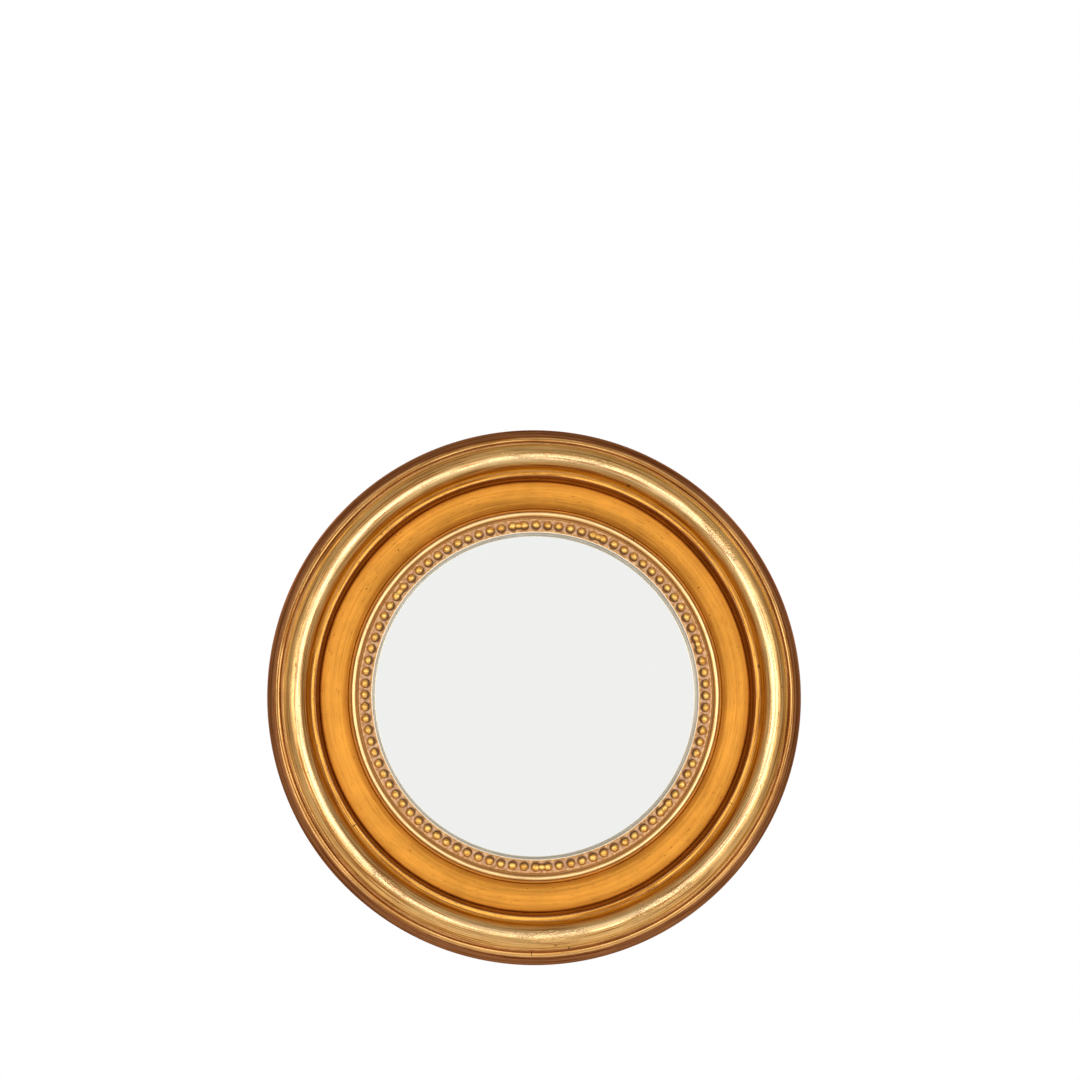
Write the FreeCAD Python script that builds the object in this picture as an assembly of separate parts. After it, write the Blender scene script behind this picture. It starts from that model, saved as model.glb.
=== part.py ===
"""A small round convex mirror in a turned and gilded wooden frame.

The frame is two turned rings: a heavy outer moulding, and a scooped inner ring that carries a
pressed bead strip at its sight edge. The convex glass lies in a rebate behind the sight edge,
and a card ring, a hardboard disc and four turn buttons hold it there. A wire ring in a folded
strap hangs the mirror, and two felt pads keep its foot off the wall.

Sizes are in millimetres. The mirror's axis is the Y axis, +Z is up and the front faces -Y.
The wall is the plane Y = 0, so a height here is a distance off the wall, towards the room.
Angles run anticlockwise about the axis, from +X, as seen from the front.
"""
import FreeCAD
import Part
import math
import os

# ---- The glass
glass_diameter = 180.0
glass_thickness = 3.0
glass_bow = 12.0            # rise of the front surface from the rim to the middle
glass_play = 0.5            # gap all round between the rim and the rebate's wall
glass_seat_gap = 0.3        # thin bed between the glass and the sight edge

# ---- The frame's widths, from the sight edge outwards
sight_cover = 4.6           # how far the bead strip covers the glass
strip_overhang = 0.4        # how far the strip stands past the wooden sight edge
strip_width = 7.1
strip_channel = 1.0         # open channel between the strip and the astragal
astragal_width = 3.1
astragal_groove = 0.9       # flat of the groove outside the astragal
groove_slope = 0.7          # from that flat up to the scoop
scoop_width = 14.8
scoop_edge_round = 1.1      # rounding of the scoop's outer edge
shadow_gap = 1.2            # open joint between the two rings
lip_batter = 0.5            # lean of the lip's inner wall
lip_width = 2.5
hollow_width = 1.6
torus_width = 12.4
quirk_width = 1.8
fillet_width = 1.9
ovolo_width = 5.1

# ---- The frame's heights
wall_gap = 4.0              # from the wall to the back of the frame
board_thickness = 3.0       # the board lies flush with the back of the frame
rebate_depth = 12.5         # from the back of the frame to the rear of the sight edge
sight_thickness = 2.3       # wood between that and the strip's seat

# ---- Heights above the strip's seat
astragal_height = 3.6
groove_height = 0.4
scoop_inner_height = 1.2
scoop_outer_height = 0.4
scoop_sag = 1.2             # how far the scoop dips below the line between its edges
lip_foot_height = 1.5
lip_height = 8.0
hollow_edge_height = 6.5
hollow_sag = 0.7
torus_height = 14.25
quirk_height = 2.2
fillet_height = 3.7
ovolo_height = 2.0
ovolo_drop = 4.8            # from the top of the ovolo to the top of the side
ovolo_bulge = 1.2

# ---- The joint between the two rings
tongue_sink = 1.8           # the tongue's face lies this far below the strip's seat
tongue_width = 5.6          # from the scoop's outer edge to the end of the tongue
tongue_play = 0.3
edge_chamfer = 0.6

# ---- The bead strip
strip_ground = 0.8          # thickness of the strip between beads
strip_rim = 1.1             # height of its two rims
inner_rim_width = 1.0
outer_rim_width = 0.8
rim_round = 0.25
bead_diameter = 4.4
bead_pitch = 6.1
bead_line = 3.9             # from the strip's inner edge to the middle of the beads
bead_crest = 3.1            # height of the beads above the seat

# ---- Packing, board and turn buttons
packing_width = 6.0
packing_gap = 0.3
board_landing = 6.75        # how far the board's rebate reaches past the glass's
board_play = 0.5
button_thickness = 1.2
button_big_radius = 6.5
button_small_radius = 4.5
button_reach = 17.5         # between the centres of its two ends
button_gap = 0.1            # running gap above and below a button
button_hole_play = 0.08
button_inset = 6.75         # from the board's rebate to a button's screw
button_angles = {"top_right": 45.0, "top_left": 135.0, "bottom_left": 225.0, "bottom_right": 315.0}

# ---- Screws
button_screw = {"head": 6.0, "head_height": 1.4, "shank": 3.0, "length": 11.0}
hanger_screw = {"head": 5.5, "head_height": 1.4, "shank": 3.0, "length": 11.0}
screw_hole_play = 0.05
screw_point = 2.0           # length of the tapered point
slot_width = 0.9
slot_share = 0.6            # depth of the slot as a share of the head's height
edge_share = 1 / 3          # height of the head's edge as a share of the head's
button_slots = (110.0, 65.0, 20.0, 150.0)  # angle of the slot in each button's screw
hanger_slots = (35.0, 115.0)  # angle of the slot in each of the hanger's screws

# ---- Hanger
wire = 2.0
eye_play = 0.09             # running gap between the wire and the strap's eye
strap_leaf = 0.8            # thickness of one leaf of the folded strap
strap_width = 9.0
hanger_eye_inset = 19.0     # from the outer edge of the frame to the middle of the eye
hanger_screw_steps = (8.5, 18.0)  # from the eye to the two screws
strap_end = 22.0            # from the eye to the strap's round end
ring_inside_width = 16.0
ring_straight = 1.0         # straight part of the ring's arms
ring_corner = 2.4           # bend of the wire at each end of its bar

# ---- Wall pads
pad_diameter = 16.0
pad_edge_inset = 10.8       # from the outer edge of the frame to the middle of a pad
pad_swing = 25.0            # degrees either side of the lowest point

# ---- Radii that follow
glass_r = glass_diameter / 2
rebate_r = glass_r + glass_play
strip_r0 = glass_r - sight_cover
sight_r = strip_r0 + strip_overhang
strip_r1 = strip_r0 + strip_width
bead_r = strip_r0 + bead_line
astragal_r0 = strip_r1 + strip_channel
astragal_r1 = astragal_r0 + astragal_width
scoop_r0 = astragal_r1 + astragal_groove + groove_slope
scoop_r1 = scoop_r0 + scoop_width
lip_foot_r = scoop_r1 + shadow_gap
lip_r0 = lip_foot_r + lip_batter
lip_r1 = lip_r0 + lip_width
torus_r0 = lip_r1 + hollow_width
torus_r1 = torus_r0 + torus_width
fillet_r0 = torus_r1 + quirk_width
fillet_r1 = fillet_r0 + fillet_width
outer_r = fillet_r1 + ovolo_width
tongue_r = scoop_r1 + tongue_width
board_rebate_r = rebate_r + board_landing
board_r = board_rebate_r - board_play
button_r = board_rebate_r + button_inset
eye_z = outer_r - hanger_eye_inset
pad_r = outer_r - pad_edge_inset
bead_count = round(2 * math.pi * bead_r / bead_pitch)

# ---- Heights off the wall that follow
back = wall_gap
board_front = back + board_thickness
sight_back = back + rebate_depth
seat = sight_back + sight_thickness
tongue_face = seat - tongue_sink
ovolo_top = seat + ovolo_height
side_top = ovolo_top - ovolo_drop

# ---- The glass as part of a sphere
glass_ball = (glass_r ** 2 + glass_bow ** 2) / (2 * glass_bow)
glass_inner_ball = glass_ball - glass_thickness
ball_height = sight_back - glass_seat_gap - math.sqrt(glass_ball ** 2 - sight_r ** 2)

WALLWARD = FreeCAD.Vector(0, 1, 0)
CENTRE = FreeCAD.Vector(0, 0, 0)


def point(radius, height, angle=0.0):
    """The point at a radius from the axis and a height off the wall, at an angle in degrees."""
    turn = math.radians(angle)
    return FreeCAD.Vector(radius * math.cos(turn), -height, radius * math.sin(turn))


def spot(across, height, up):
    """The point at a distance across, a height off the wall and a distance up."""
    return FreeCAD.Vector(across, -height, up)


def chain(corners, place):
    """A closed wire through corners. A corner of three numbers is reached by an arc that stands
    that last number off the straight line, to the left of the way there."""
    edges = []
    for before, corner in zip([corners[-1]] + corners[:-1], corners):
        start = before[:2]
        end = corner[:2]
        if len(corner) == 2:
            edges.append(Part.LineSegment(place(*start), place(*end)).toShape())
            continue
        run = math.dist(start, end)
        middle = ((start[0] + end[0]) / 2 - (end[1] - start[1]) * corner[2] / run,
                  (start[1] + end[1]) / 2 + (end[0] - start[0]) * corner[2] / run)
        edges.append(Part.Arc(place(*start), place(*middle), place(*end)).toShape())
    return Part.Wire(edges)


def upright(shape):
    """The shape as a solid with its faces outwards."""
    solid = shape.Solids[0]
    if solid.Volume < 0:
        solid.reverse()
    return solid


def turned(corners, about=CENTRE, along=WALLWARD, place=point):
    """A solid turned about an axis from a closed outline."""
    return upright(Part.Face(chain(corners, place)).revolve(about, along, 360))


def around(shape, angle):
    """A copy of the shape, turned about the mirror's axis."""
    copy = shape.copy()
    copy.rotate(CENTRE, WALLWARD, -angle)
    return copy


def moved(shape, offset):
    """A copy of the shape, moved."""
    copy = shape.copy()
    copy.translate(offset)
    return copy


def arc_rise(radius, run):
    """How far an arc of this radius stands off a straight line of length run between its ends."""
    return radius - math.sqrt(radius ** 2 - (run / 2) ** 2)


def ball_at(ball, radius):
    """Height off the wall of one of the glass's two spheres, at a radius from the axis."""
    return ball_height + math.sqrt(ball ** 2 - radius ** 2)


# ---- The turned rings

def outer_moulding():
    """Ovolo, fillet, quirk, torus, hollow and lip, with a rebate behind for the inner ring."""
    lip_round = lip_width / 2
    fillet_round = fillet_width / 2
    torus_round = torus_width / 2
    ring = turned([
        (tongue_r + tongue_play, tongue_face),
        (lip_foot_r, tongue_face),
        (lip_foot_r, seat + lip_foot_height),
        (lip_r0, seat + lip_height - lip_round),
        (lip_r1, seat + lip_height - lip_round, lip_round),
        (lip_r1, seat + hollow_edge_height),
        (torus_r0, seat + hollow_edge_height, -hollow_sag),
        (torus_r0, seat + torus_height - torus_round),
        (torus_r1, seat + torus_height - torus_round, torus_round),
        (torus_r1, seat + quirk_height),
        (fillet_r0, seat + quirk_height),
        (fillet_r0, seat + fillet_height - fillet_round),
        (fillet_r1, seat + fillet_height - fillet_round, fillet_round),
        (fillet_r1, ovolo_top),
        (outer_r, side_top, ovolo_bulge),
        (outer_r, back + edge_chamfer),
        (outer_r - edge_chamfer, back),
        (tongue_r + tongue_play, back)])
    return ring.cut(screw_holes(hanger_screw_places(), hanger_screw))


def scoop_ring():
    """Seat of the bead strip, astragal and scoop, with the rebates for glass and board behind."""
    astragal_round = astragal_width / 2
    edge_rise = arc_rise(scoop_edge_round, scoop_edge_round * math.sqrt(2))
    ring = turned([
        (rebate_r, sight_back),
        (sight_r, sight_back),
        (sight_r, seat),
        (astragal_r0, seat),
        (astragal_r0, seat + astragal_height - astragal_round),
        (astragal_r1, seat + astragal_height - astragal_round, astragal_round),
        (astragal_r1, seat + groove_height),
        (astragal_r1 + astragal_groove, seat + groove_height),
        (scoop_r0, seat + scoop_inner_height),
        (scoop_r1 - scoop_edge_round, seat + scoop_outer_height, -scoop_sag),
        (scoop_r1, seat + scoop_outer_height - scoop_edge_round, edge_rise),
        (scoop_r1, tongue_face),
        (tongue_r, tongue_face),
        (tongue_r, back),
        (board_rebate_r, back),
        (board_rebate_r, board_front),
        (rebate_r, board_front)])
    holes = screw_holes(button_screw_places(), button_screw)
    return ring.cut(holes).cut(screw_holes(hanger_screw_places(), hanger_screw))


def bead_strip():
    """Thin pressed strip with a row of round beads between two rims."""
    ground = seat + strip_ground
    strip = turned([
        (strip_r1, seat),
        (strip_r0, seat),
        (strip_r0, seat + strip_rim - rim_round),
        (strip_r0 + inner_rim_width, seat + strip_rim - rim_round, rim_round),
        (strip_r0 + inner_rim_width, ground),
        (strip_r1 - outer_rim_width, ground),
        (strip_r1 - outer_rim_width, seat + strip_rim - rim_round),
        (strip_r1, seat + strip_rim - rim_round, rim_round)])
    half = bead_diameter / 2
    dome = half * math.sqrt(0.5)
    foot = seat + strip_ground / 2
    crest = seat + bead_crest
    outline = [Part.LineSegment(point(bead_r, crest), point(bead_r, foot)).toShape(),
               Part.LineSegment(point(bead_r, foot), point(bead_r + half, foot)).toShape(),
               Part.LineSegment(point(bead_r + half, foot), point(bead_r + half, crest - half)).toShape(),
               Part.Arc(point(bead_r + half, crest - half),
                        point(bead_r + dome, crest - half + dome),
                        point(bead_r, crest)).toShape()]
    bead = upright(Part.Face(Part.Wire(outline)).revolve(point(bead_r, 0), WALLWARD, 360))
    beads = [around(bead, 360.0 * number / bead_count) for number in range(bead_count)]
    return strip.multiFuse(beads)


# ---- Glass, packing and board

def convex_glass():
    """A slice of two spheres with one centre, the front one larger by the glass's thickness."""
    front_run = math.dist((0, ball_at(glass_ball, 0)), (glass_r, ball_at(glass_ball, glass_r)))
    rear_run = math.dist((0, ball_at(glass_inner_ball, 0)),
                         (glass_r, ball_at(glass_inner_ball, glass_r)))
    return turned([
        (0, ball_at(glass_ball, 0)),
        (glass_r, ball_at(glass_ball, glass_r), arc_rise(glass_ball, front_run)),
        (glass_r, ball_at(glass_inner_ball, glass_r)),
        (0, ball_at(glass_inner_ball, 0), -arc_rise(glass_inner_ball, rear_run))])


def packing_ring():
    """Card ring whose front slopes with the back of the glass."""
    inner = glass_r - packing_width
    return turned([
        (glass_r, board_front),
        (inner, board_front),
        (inner, ball_at(glass_inner_ball, inner) - packing_gap),
        (glass_r, ball_at(glass_inner_ball, glass_r) - packing_gap)])


def backing_board():
    """Round board, flush with the back of the frame."""
    return Part.makeCylinder(board_r, board_thickness, point(0, board_front), WALLWARD)


# ---- Screws, whose axis runs along Y and whose head is towards the wall

def screw(size, centre, slot_angle):
    """A domed slotted screw. centre is where its axis meets the face under its head."""
    head = size["head"] / 2
    shank = size["shank"] / 2
    rise = size["head_height"]
    edge = rise * edge_share
    top_run = math.dist((0, rise), (head, edge))
    dome_ball = (head ** 2 + (rise - edge) ** 2) / (2 * (rise - edge))
    body = turned([
        (0, rise, -arc_rise(dome_ball, top_run)),
        (0, -size["length"]),
        (shank, screw_point - size["length"]),
        (shank, 0),
        (head, 0),
        (head, edge)],
        place=lambda radius, height: spot(radius, -height, 0))
    depth = rise * slot_share
    slot = Part.makeBox(size["head"] + slot_width, depth * 2, slot_width,
                        FreeCAD.Vector(-(size["head"] + slot_width) / 2, rise - depth, -slot_width / 2))
    slot.rotate(CENTRE, WALLWARD, slot_angle)
    return moved(body.cut(slot).Solids[0], centre)


def screw_holes(places, size):
    """The pilot holes for screws at these places, from the back of the frame."""
    radius = size["shank"] / 2 + screw_hole_play
    mouth = edge_chamfer - back
    holes = []
    for centre, _ in places:
        depth = mouth - centre.y + size["length"] + screw_hole_play
        holes.append(Part.makeCylinder(radius, depth, FreeCAD.Vector(centre.x, mouth, centre.z), -WALLWARD))
    return Part.makeCompound(holes)


def button_screw_places():
    """Where each turn button's screw head sits, and the angle of its slot."""
    height = back - button_thickness - 2 * button_gap
    return [(point(button_r, height, angle), slot_angle)
            for angle, slot_angle in zip(button_angles.values(), button_slots)]


def hanger_screw_places():
    """Where the strap's two screw heads sit, and the angles of their slots."""
    height = back - 2 * strap_leaf
    return [(spot(0, height, eye_z - step), slot_angle)
            for step, slot_angle in zip(hanger_screw_steps, hanger_slots)]


def screws(places, size):
    """A group of like screws."""
    return Part.makeCompound([screw(size, centre, slot_angle) for centre, slot_angle in places])


# ---- Turn buttons

def turn_button(angle):
    """Flat steel tongue that turns about its screw, pointing at the middle of the board."""
    lean = math.asin((button_big_radius - button_small_radius) / button_reach)
    big_in = button_big_radius * math.sin(lean)
    big_out = button_big_radius * math.cos(lean)
    small_in = button_reach + button_small_radius * math.sin(lean)
    small_out = button_small_radius * math.cos(lean)
    front = back - button_gap

    def place(inward, sideways):
        return FreeCAD.Vector(button_r - inward, -front, sideways)

    edges = [
        Part.LineSegment(place(big_in, big_out), place(small_in, small_out)).toShape(),
        Part.Arc(place(small_in, small_out), place(button_reach + button_small_radius, 0),
                 place(small_in, -small_out)).toShape(),
        Part.LineSegment(place(small_in, -small_out), place(big_in, -big_out)).toShape(),
        Part.Arc(place(big_in, -big_out), place(-button_big_radius, 0),
                 place(big_in, big_out)).toShape()]
    plate = upright(Part.Face(Part.Wire(edges)).extrude(WALLWARD * button_thickness))
    hole = Part.makeCylinder(button_screw["shank"] / 2 + button_hole_play, 2 * back,
                             point(button_r, 2 * back), WALLWARD)
    return around(plate.cut(hole).Solids[0], angle)


# ---- Hanger

def eye_height():
    """Height off the wall of the middle of the strap's eye, which lies on the frame's back."""
    return back - strap_leaf - wire / 2 - eye_play


def hanger_strap():
    """A strip folded round the ring's bar, both leaves flat on the frame under two screws."""
    eye = spot(-strap_width / 2, eye_height(), eye_z)
    across = FreeCAD.Vector(1, 0, 0)
    eye_hole = Part.makeCylinder(wire / 2 + eye_play, strap_width, eye, across)
    eye_tube = Part.makeCylinder(wire / 2 + eye_play + strap_leaf, strap_width, eye, across)
    thickness = 2 * strap_leaf
    length = strap_end - strap_width / 2
    leaves = Part.makeBox(strap_width, thickness, length,
                          FreeCAD.Vector(-strap_width / 2, -back, eye_z - length))
    end = Part.makeCylinder(strap_width / 2, thickness, spot(0, back, eye_z - length), WALLWARD)
    strap = eye_tube.fuse([leaves, end]).cut(eye_hole)
    for centre, _ in hanger_screw_places():
        hole = Part.makeCylinder(hanger_screw["shank"] / 2 + screw_hole_play, 2 * back,
                                 FreeCAD.Vector(centre.x, -2 * back, centre.z), WALLWARD)
        strap = strap.cut(hole)
    return strap.removeSplitter().Solids[0]


def bend(middle, start_angle, sweep, radius):
    """A bent length of wire in the ring's plane, about a middle point, from an angle in degrees."""
    turn = math.radians(start_angle)
    start = middle + FreeCAD.Vector(math.cos(turn), 0, math.sin(turn)) * radius
    direction = FreeCAD.Vector(-math.sin(turn), 0, math.cos(turn))
    disc = Part.Face(Part.Wire(Part.makeCircle(wire / 2, start, direction)))
    return upright(disc.revolve(middle, -WALLWARD, sweep))


def rod(start, end):
    """A straight length of wire."""
    return Part.makeCylinder(wire / 2, (end - start).Length, start, end - start)


def hanger_ring():
    """D-shaped ring of wire: a bar through the eye, two short arms and a half circle."""
    half = (ring_inside_width + wire) / 2
    height = eye_height()
    corner = ring_corner + wire / 2
    bar_left = spot(corner - half, height, eye_z)
    bar_right = spot(half - corner, height, eye_z)
    bow = spot(0, height, eye_z + corner + ring_straight)
    parts = [rod(bar_left, bar_right), bend(bow, 0, 180, half)]
    for side in (-1, 1):
        low = spot(side * half, height, eye_z + corner)
        parts.append(rod(low, low + FreeCAD.Vector(0, 0, ring_straight)))
        middle = spot(side * (half - corner), height, eye_z + corner)
        parts.append(bend(middle, 270 if side > 0 else 180, 90, corner))
    return parts[0].fuse(parts[1:]).removeSplitter().Solids[0]


# ---- Wall pads

def wall_pad(side):
    """Felt disc under the foot of the frame."""
    return Part.makeCylinder(pad_diameter / 2, wall_gap, point(pad_r, back, 270 + side * pad_swing),
                             WALLWARD)


# ---- Everything, by name

pieces = {
    "outer_moulding": outer_moulding(),
    "scoop_ring": scoop_ring(),
    "bead_strip": bead_strip(),
    "convex_glass": convex_glass(),
    "packing_ring": packing_ring(),
    "backing_board": backing_board(),
    "turn_button_screws": screws(button_screw_places(), button_screw),
    "hanger_strap": hanger_strap(),
    "hanger_ring": hanger_ring(),
    "hanger_screws": screws(hanger_screw_places(), hanger_screw),
    "wall_pad_left": wall_pad(-1),
    "wall_pad_right": wall_pad(1),
}
for corner_name, corner_angle in button_angles.items():
    pieces["turn_button_" + corner_name] = turn_button(corner_angle)

os.makedirs("parts", exist_ok=True)
for name, shape in pieces.items():
    shape.exportStep("parts/" + name + ".step")
    print(f"{name}: {len(shape.Solids)} solids, {shape.Volume / 1000:.2f} cm3, valid {shape.isValid()}")
print(f"{bead_count} beads, outer diameter {2 * outer_r:.1f}, depth {seat + torus_height:.2f}")
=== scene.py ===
import math
import random

import bmesh
import bpy
from mathutils import Matrix, Vector


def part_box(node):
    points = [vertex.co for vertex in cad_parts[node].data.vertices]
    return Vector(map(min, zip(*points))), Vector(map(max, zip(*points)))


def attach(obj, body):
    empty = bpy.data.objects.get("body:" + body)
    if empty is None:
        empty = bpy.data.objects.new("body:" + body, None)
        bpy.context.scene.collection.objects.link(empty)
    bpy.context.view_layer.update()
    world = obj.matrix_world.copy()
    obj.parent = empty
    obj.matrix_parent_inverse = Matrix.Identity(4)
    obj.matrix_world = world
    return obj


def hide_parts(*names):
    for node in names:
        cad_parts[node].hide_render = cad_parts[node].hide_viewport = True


# The looks of a small round convex mirror in a turned and gilded wooden frame. All is in metres,
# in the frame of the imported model: the mirror's axis is Y, the front faces -Y, and the wall is the
# plane Y = 0. A height is a distance off the wall, so a point at height h has Y = -h.
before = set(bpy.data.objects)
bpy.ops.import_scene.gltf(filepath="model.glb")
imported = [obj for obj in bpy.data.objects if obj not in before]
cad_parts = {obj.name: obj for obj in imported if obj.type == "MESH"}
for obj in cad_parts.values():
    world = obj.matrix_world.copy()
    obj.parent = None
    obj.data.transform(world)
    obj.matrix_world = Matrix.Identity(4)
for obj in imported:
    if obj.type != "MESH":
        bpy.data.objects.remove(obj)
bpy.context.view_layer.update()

MM = 0.001
CENTRE = Vector((0, 0, 0))

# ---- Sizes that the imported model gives
moulding_low, moulding_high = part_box("outer_moulding")
scoop_low, scoop_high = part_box("scoop_ring")
strip_low, strip_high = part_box("bead_strip")
glass_low, glass_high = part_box("convex_glass")
board_low, board_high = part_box("backing_board")
ring_low, ring_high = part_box("hanger_ring")
strap_low, strap_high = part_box("hanger_strap")
back = -moulding_high.y          # height of the frame's back
crest = -moulding_low.y          # height of the torus
outer_r = moulding_high.x
tongue_r = scoop_high.x
seat = -strip_high.y             # height of the strip's seat
bead_crest = -strip_low.y
strip_r1 = strip_high.x
glass_r = glass_high.x
glass_apex = -glass_low.y
board_r = board_high.x
board_front = -board_low.y

# ---- Widths of the mouldings, from the outer edge inwards
ovolo_width = 5.1 * MM
fillet_width = 1.9 * MM
quirk_width = 1.8 * MM
torus_width = 12.4 * MM
hollow_width = 1.6 * MM
lip_width = 2.5 * MM
lip_batter = 0.5 * MM
shadow_gap = 1.2 * MM
scoop_width = 14.8 * MM
scoop_edge_round = 1.1 * MM
groove_slope = 0.7 * MM
astragal_groove = 0.9 * MM
astragal_width = 3.1 * MM
strip_width = 7.1 * MM
strip_overhang = 0.4 * MM

# ---- Heights above the strip's seat
ovolo_height = 2.0 * MM
ovolo_drop = 4.8 * MM
ovolo_bulge = 1.2 * MM
fillet_height = 3.7 * MM
quirk_height = 2.2 * MM
hollow_sag = 0.7 * MM
lip_height = 8.0 * MM
lip_foot_height = 1.5 * MM
scoop_outer_height = 0.4 * MM
scoop_inner_height = 1.2 * MM
scoop_sag = 1.2 * MM
groove_height = 0.4 * MM

# ---- Behind the seat
sight_thickness = 2.3 * MM
tongue_sink = 1.8 * MM
rebate_play = 0.5 * MM
tongue_play = 0.3 * MM
edge_chamfer = 0.6 * MM

# ---- The bead strip
strip_ground = 0.8 * MM
strip_rim = 1.1 * MM
inner_rim_width = 1.0 * MM
outer_rim_width = 0.8 * MM
rim_round = 0.25 * MM
bead_radius = 2.2 * MM
bead_flatness = 0.74             # how high the crown stands, of a half ball's height
bead_flare = 0.2 * MM            # the foot's flare begins this far above the ground
bead_line = 3.9 * MM
bead_count = 92

# ---- The glass
glass_thickness = 3.0 * MM
glass_bow = 12.0 * MM

# ---- Fittings on the back
screw_reach = 11.0 * MM
screw_head_height = 1.4 * MM
button_screw_head = 3.0 * MM     # radius of the head
hanger_screw_head = 2.75 * MM
screw_shank = 1.5 * MM
slot_width = 0.9 * MM
button_thickness = 1.2 * MM
button_big = 6.5 * MM
button_small = 4.5 * MM
button_reach = 17.5 * MM
wire = 2.0 * MM
eye_play = 0.09 * MM
strap_thickness = 0.8 * MM

# ---- Radii that follow
fillet_r1 = outer_r - ovolo_width
fillet_r0 = fillet_r1 - fillet_width
torus_r1 = fillet_r0 - quirk_width
torus_r0 = torus_r1 - torus_width
lip_r1 = torus_r0 - hollow_width
lip_r0 = lip_r1 - lip_width
lip_foot_r = lip_r0 - lip_batter
scoop_r1 = lip_foot_r - shadow_gap
scoop_r0 = scoop_r1 - scoop_width
astragal_r1 = scoop_r0 - groove_slope - astragal_groove
astragal_r0 = astragal_r1 - astragal_width
strip_r0 = strip_r1 - strip_width
sight_r = strip_r0 + strip_overhang
bead_r = strip_r0 + bead_line
rebate_r = glass_r + rebate_play
tongue_face = seat - tongue_sink
board_rebate_r = board_r + rebate_play

# ---- How fine the modelling is
RING_STEPS = 480                 # segments round a turned ring
PLAIN_STEPS = 192                # segments round the glass and the board
CAP_STEPS = 36                   # rings of faces from the middle of the glass to its rim
ARC_STEP = 0.45 * MM             # length of a segment along an arc of an outline
SHARP = math.radians(24)         # a corner that turns more than this is softened


# ---- Modelling by hand

def start(name):
    """A new single point at the origin, in edit mode, ready to be drawn out."""
    bpy.ops.object.select_all(action="DESELECT")
    bpy.ops.mesh.primitive_plane_add(size=MM)
    piece = bpy.context.object
    piece.name = name
    piece.data.name = name
    bpy.ops.object.mode_set(mode="EDIT")
    bpy.ops.mesh.select_mode(type="VERT")
    bpy.ops.mesh.merge(type="CENTER")
    return piece


def pick_out(*pieces):
    """Selects only these objects, and makes the first of them the active one."""
    bpy.ops.object.select_all(action="DESELECT")
    for piece in pieces:
        piece.select_set(True)
    bpy.context.view_layer.objects.active = pieces[0]


def choose(piece, kind, test):
    """In edit mode, selects only the verts, edges or faces that pass a test."""
    bpy.ops.mesh.select_mode(type={"verts": "VERT", "edges": "EDGE", "faces": "FACE"}[kind])
    bpy.ops.mesh.select_all(action="DESELECT")
    mesh = bmesh.from_edit_mesh(piece.data)
    for element in getattr(mesh, kind):
        if test(element):
            element.select_set(True)
    mesh.select_flush_mode()
    bmesh.update_edit_mesh(piece.data)


def along(corners):
    """Points through corners of (radius, height). A corner of three numbers is reached by an arc
    that stands that last number off the straight line, to the left of the way there."""
    points = [Vector(corners[0][:2])]
    for corner in corners[1:]:
        end = Vector(corner[:2])
        if len(corner) == 3:
            begin = points[-1]
            run = end - begin
            rise = abs(corner[2])
            radius = (rise ** 2 + run.length_squared / 4) / (2 * rise)
            left = Vector((-run.y, run.x)).normalized() * math.copysign(1, corner[2])
            middle = (begin + end) / 2 - left * (radius - rise)
            half = math.asin(min(1, run.length / 2 / radius))
            if rise > radius:
                half = math.pi - half
            count = max(4, round(2 * half * radius / ARC_STEP))
            side = run.normalized()
            for number in range(1, count):
                swing = half * (2 * number / count - 1)
                points.append(middle + left * radius * math.cos(swing)
                              + side * radius * math.sin(swing))
        points.append(end)
    return points


def is_sharp(before, corner, after):
    """Whether an outline turns sharply at a corner."""
    return (corner - before).angle(after - corner) > SHARP


def trace(spots):
    """Draws a line through these points out of a piece's one point."""
    bpy.ops.transform.translate(value=spots[0])
    for before, after in zip(spots, spots[1:]):
        bpy.ops.mesh.extrude_vertices_move(TRANSFORM_OT_translate={"value": after - before})


def draw(piece, points, closed, soft):
    """Draws the outline out of the piece's one point, and rounds its sharp corners."""
    spots = [Vector((point[0], -point[1], 0)) for point in points]
    trace(spots)
    if closed:
        ends = (0, len(spots) - 1)
        choose(piece, "verts", lambda vert: vert.index in ends)
        bpy.ops.mesh.edge_face_add()
    last = len(points) - 1
    inner = range(len(points)) if closed else range(1, last)
    sharp = {number for number in inner
             if is_sharp(points[number - 1], points[number], points[(number + 1) % len(points)])}
    if sharp and soft:
        choose(piece, "verts", lambda vert: vert.index in sharp)
        bpy.ops.mesh.bevel(offset=soft, segments=3, affect="VERTICES")


def close_up(piece, angle=50):
    """Merges doubles, turns the faces outwards, leaves edit mode and shades smooth."""
    bpy.ops.mesh.select_all(action="SELECT")
    bpy.ops.mesh.remove_doubles(threshold=0.02 * MM)
    bpy.ops.mesh.normals_make_consistent(inside=False)
    bpy.ops.object.mode_set(mode="OBJECT")
    bpy.ops.object.shade_smooth_by_angle(angle=math.radians(angle))
    return piece


def turned(name, corners, closed=True, steps=RING_STEPS, soft=0.15 * MM):
    """A solid turned about the Y axis from an outline of (radius, height)."""
    piece = start(name)
    draw(piece, along(corners), closed, soft)
    bpy.ops.mesh.select_all(action="SELECT")
    bpy.ops.mesh.spin(steps=steps, angle=2 * math.pi, center=CENTRE, axis=(0, 1, 0))
    return close_up(piece)


def finish_with(piece, kind, **settings):
    """Adds a modifier and applies it."""
    pick_out(piece)
    modifier = piece.modifiers.new(kind.lower(), kind)
    for name, value in settings.items():
        setattr(modifier, name, value)
    bpy.ops.object.modifier_apply(modifier=modifier.name)


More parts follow.
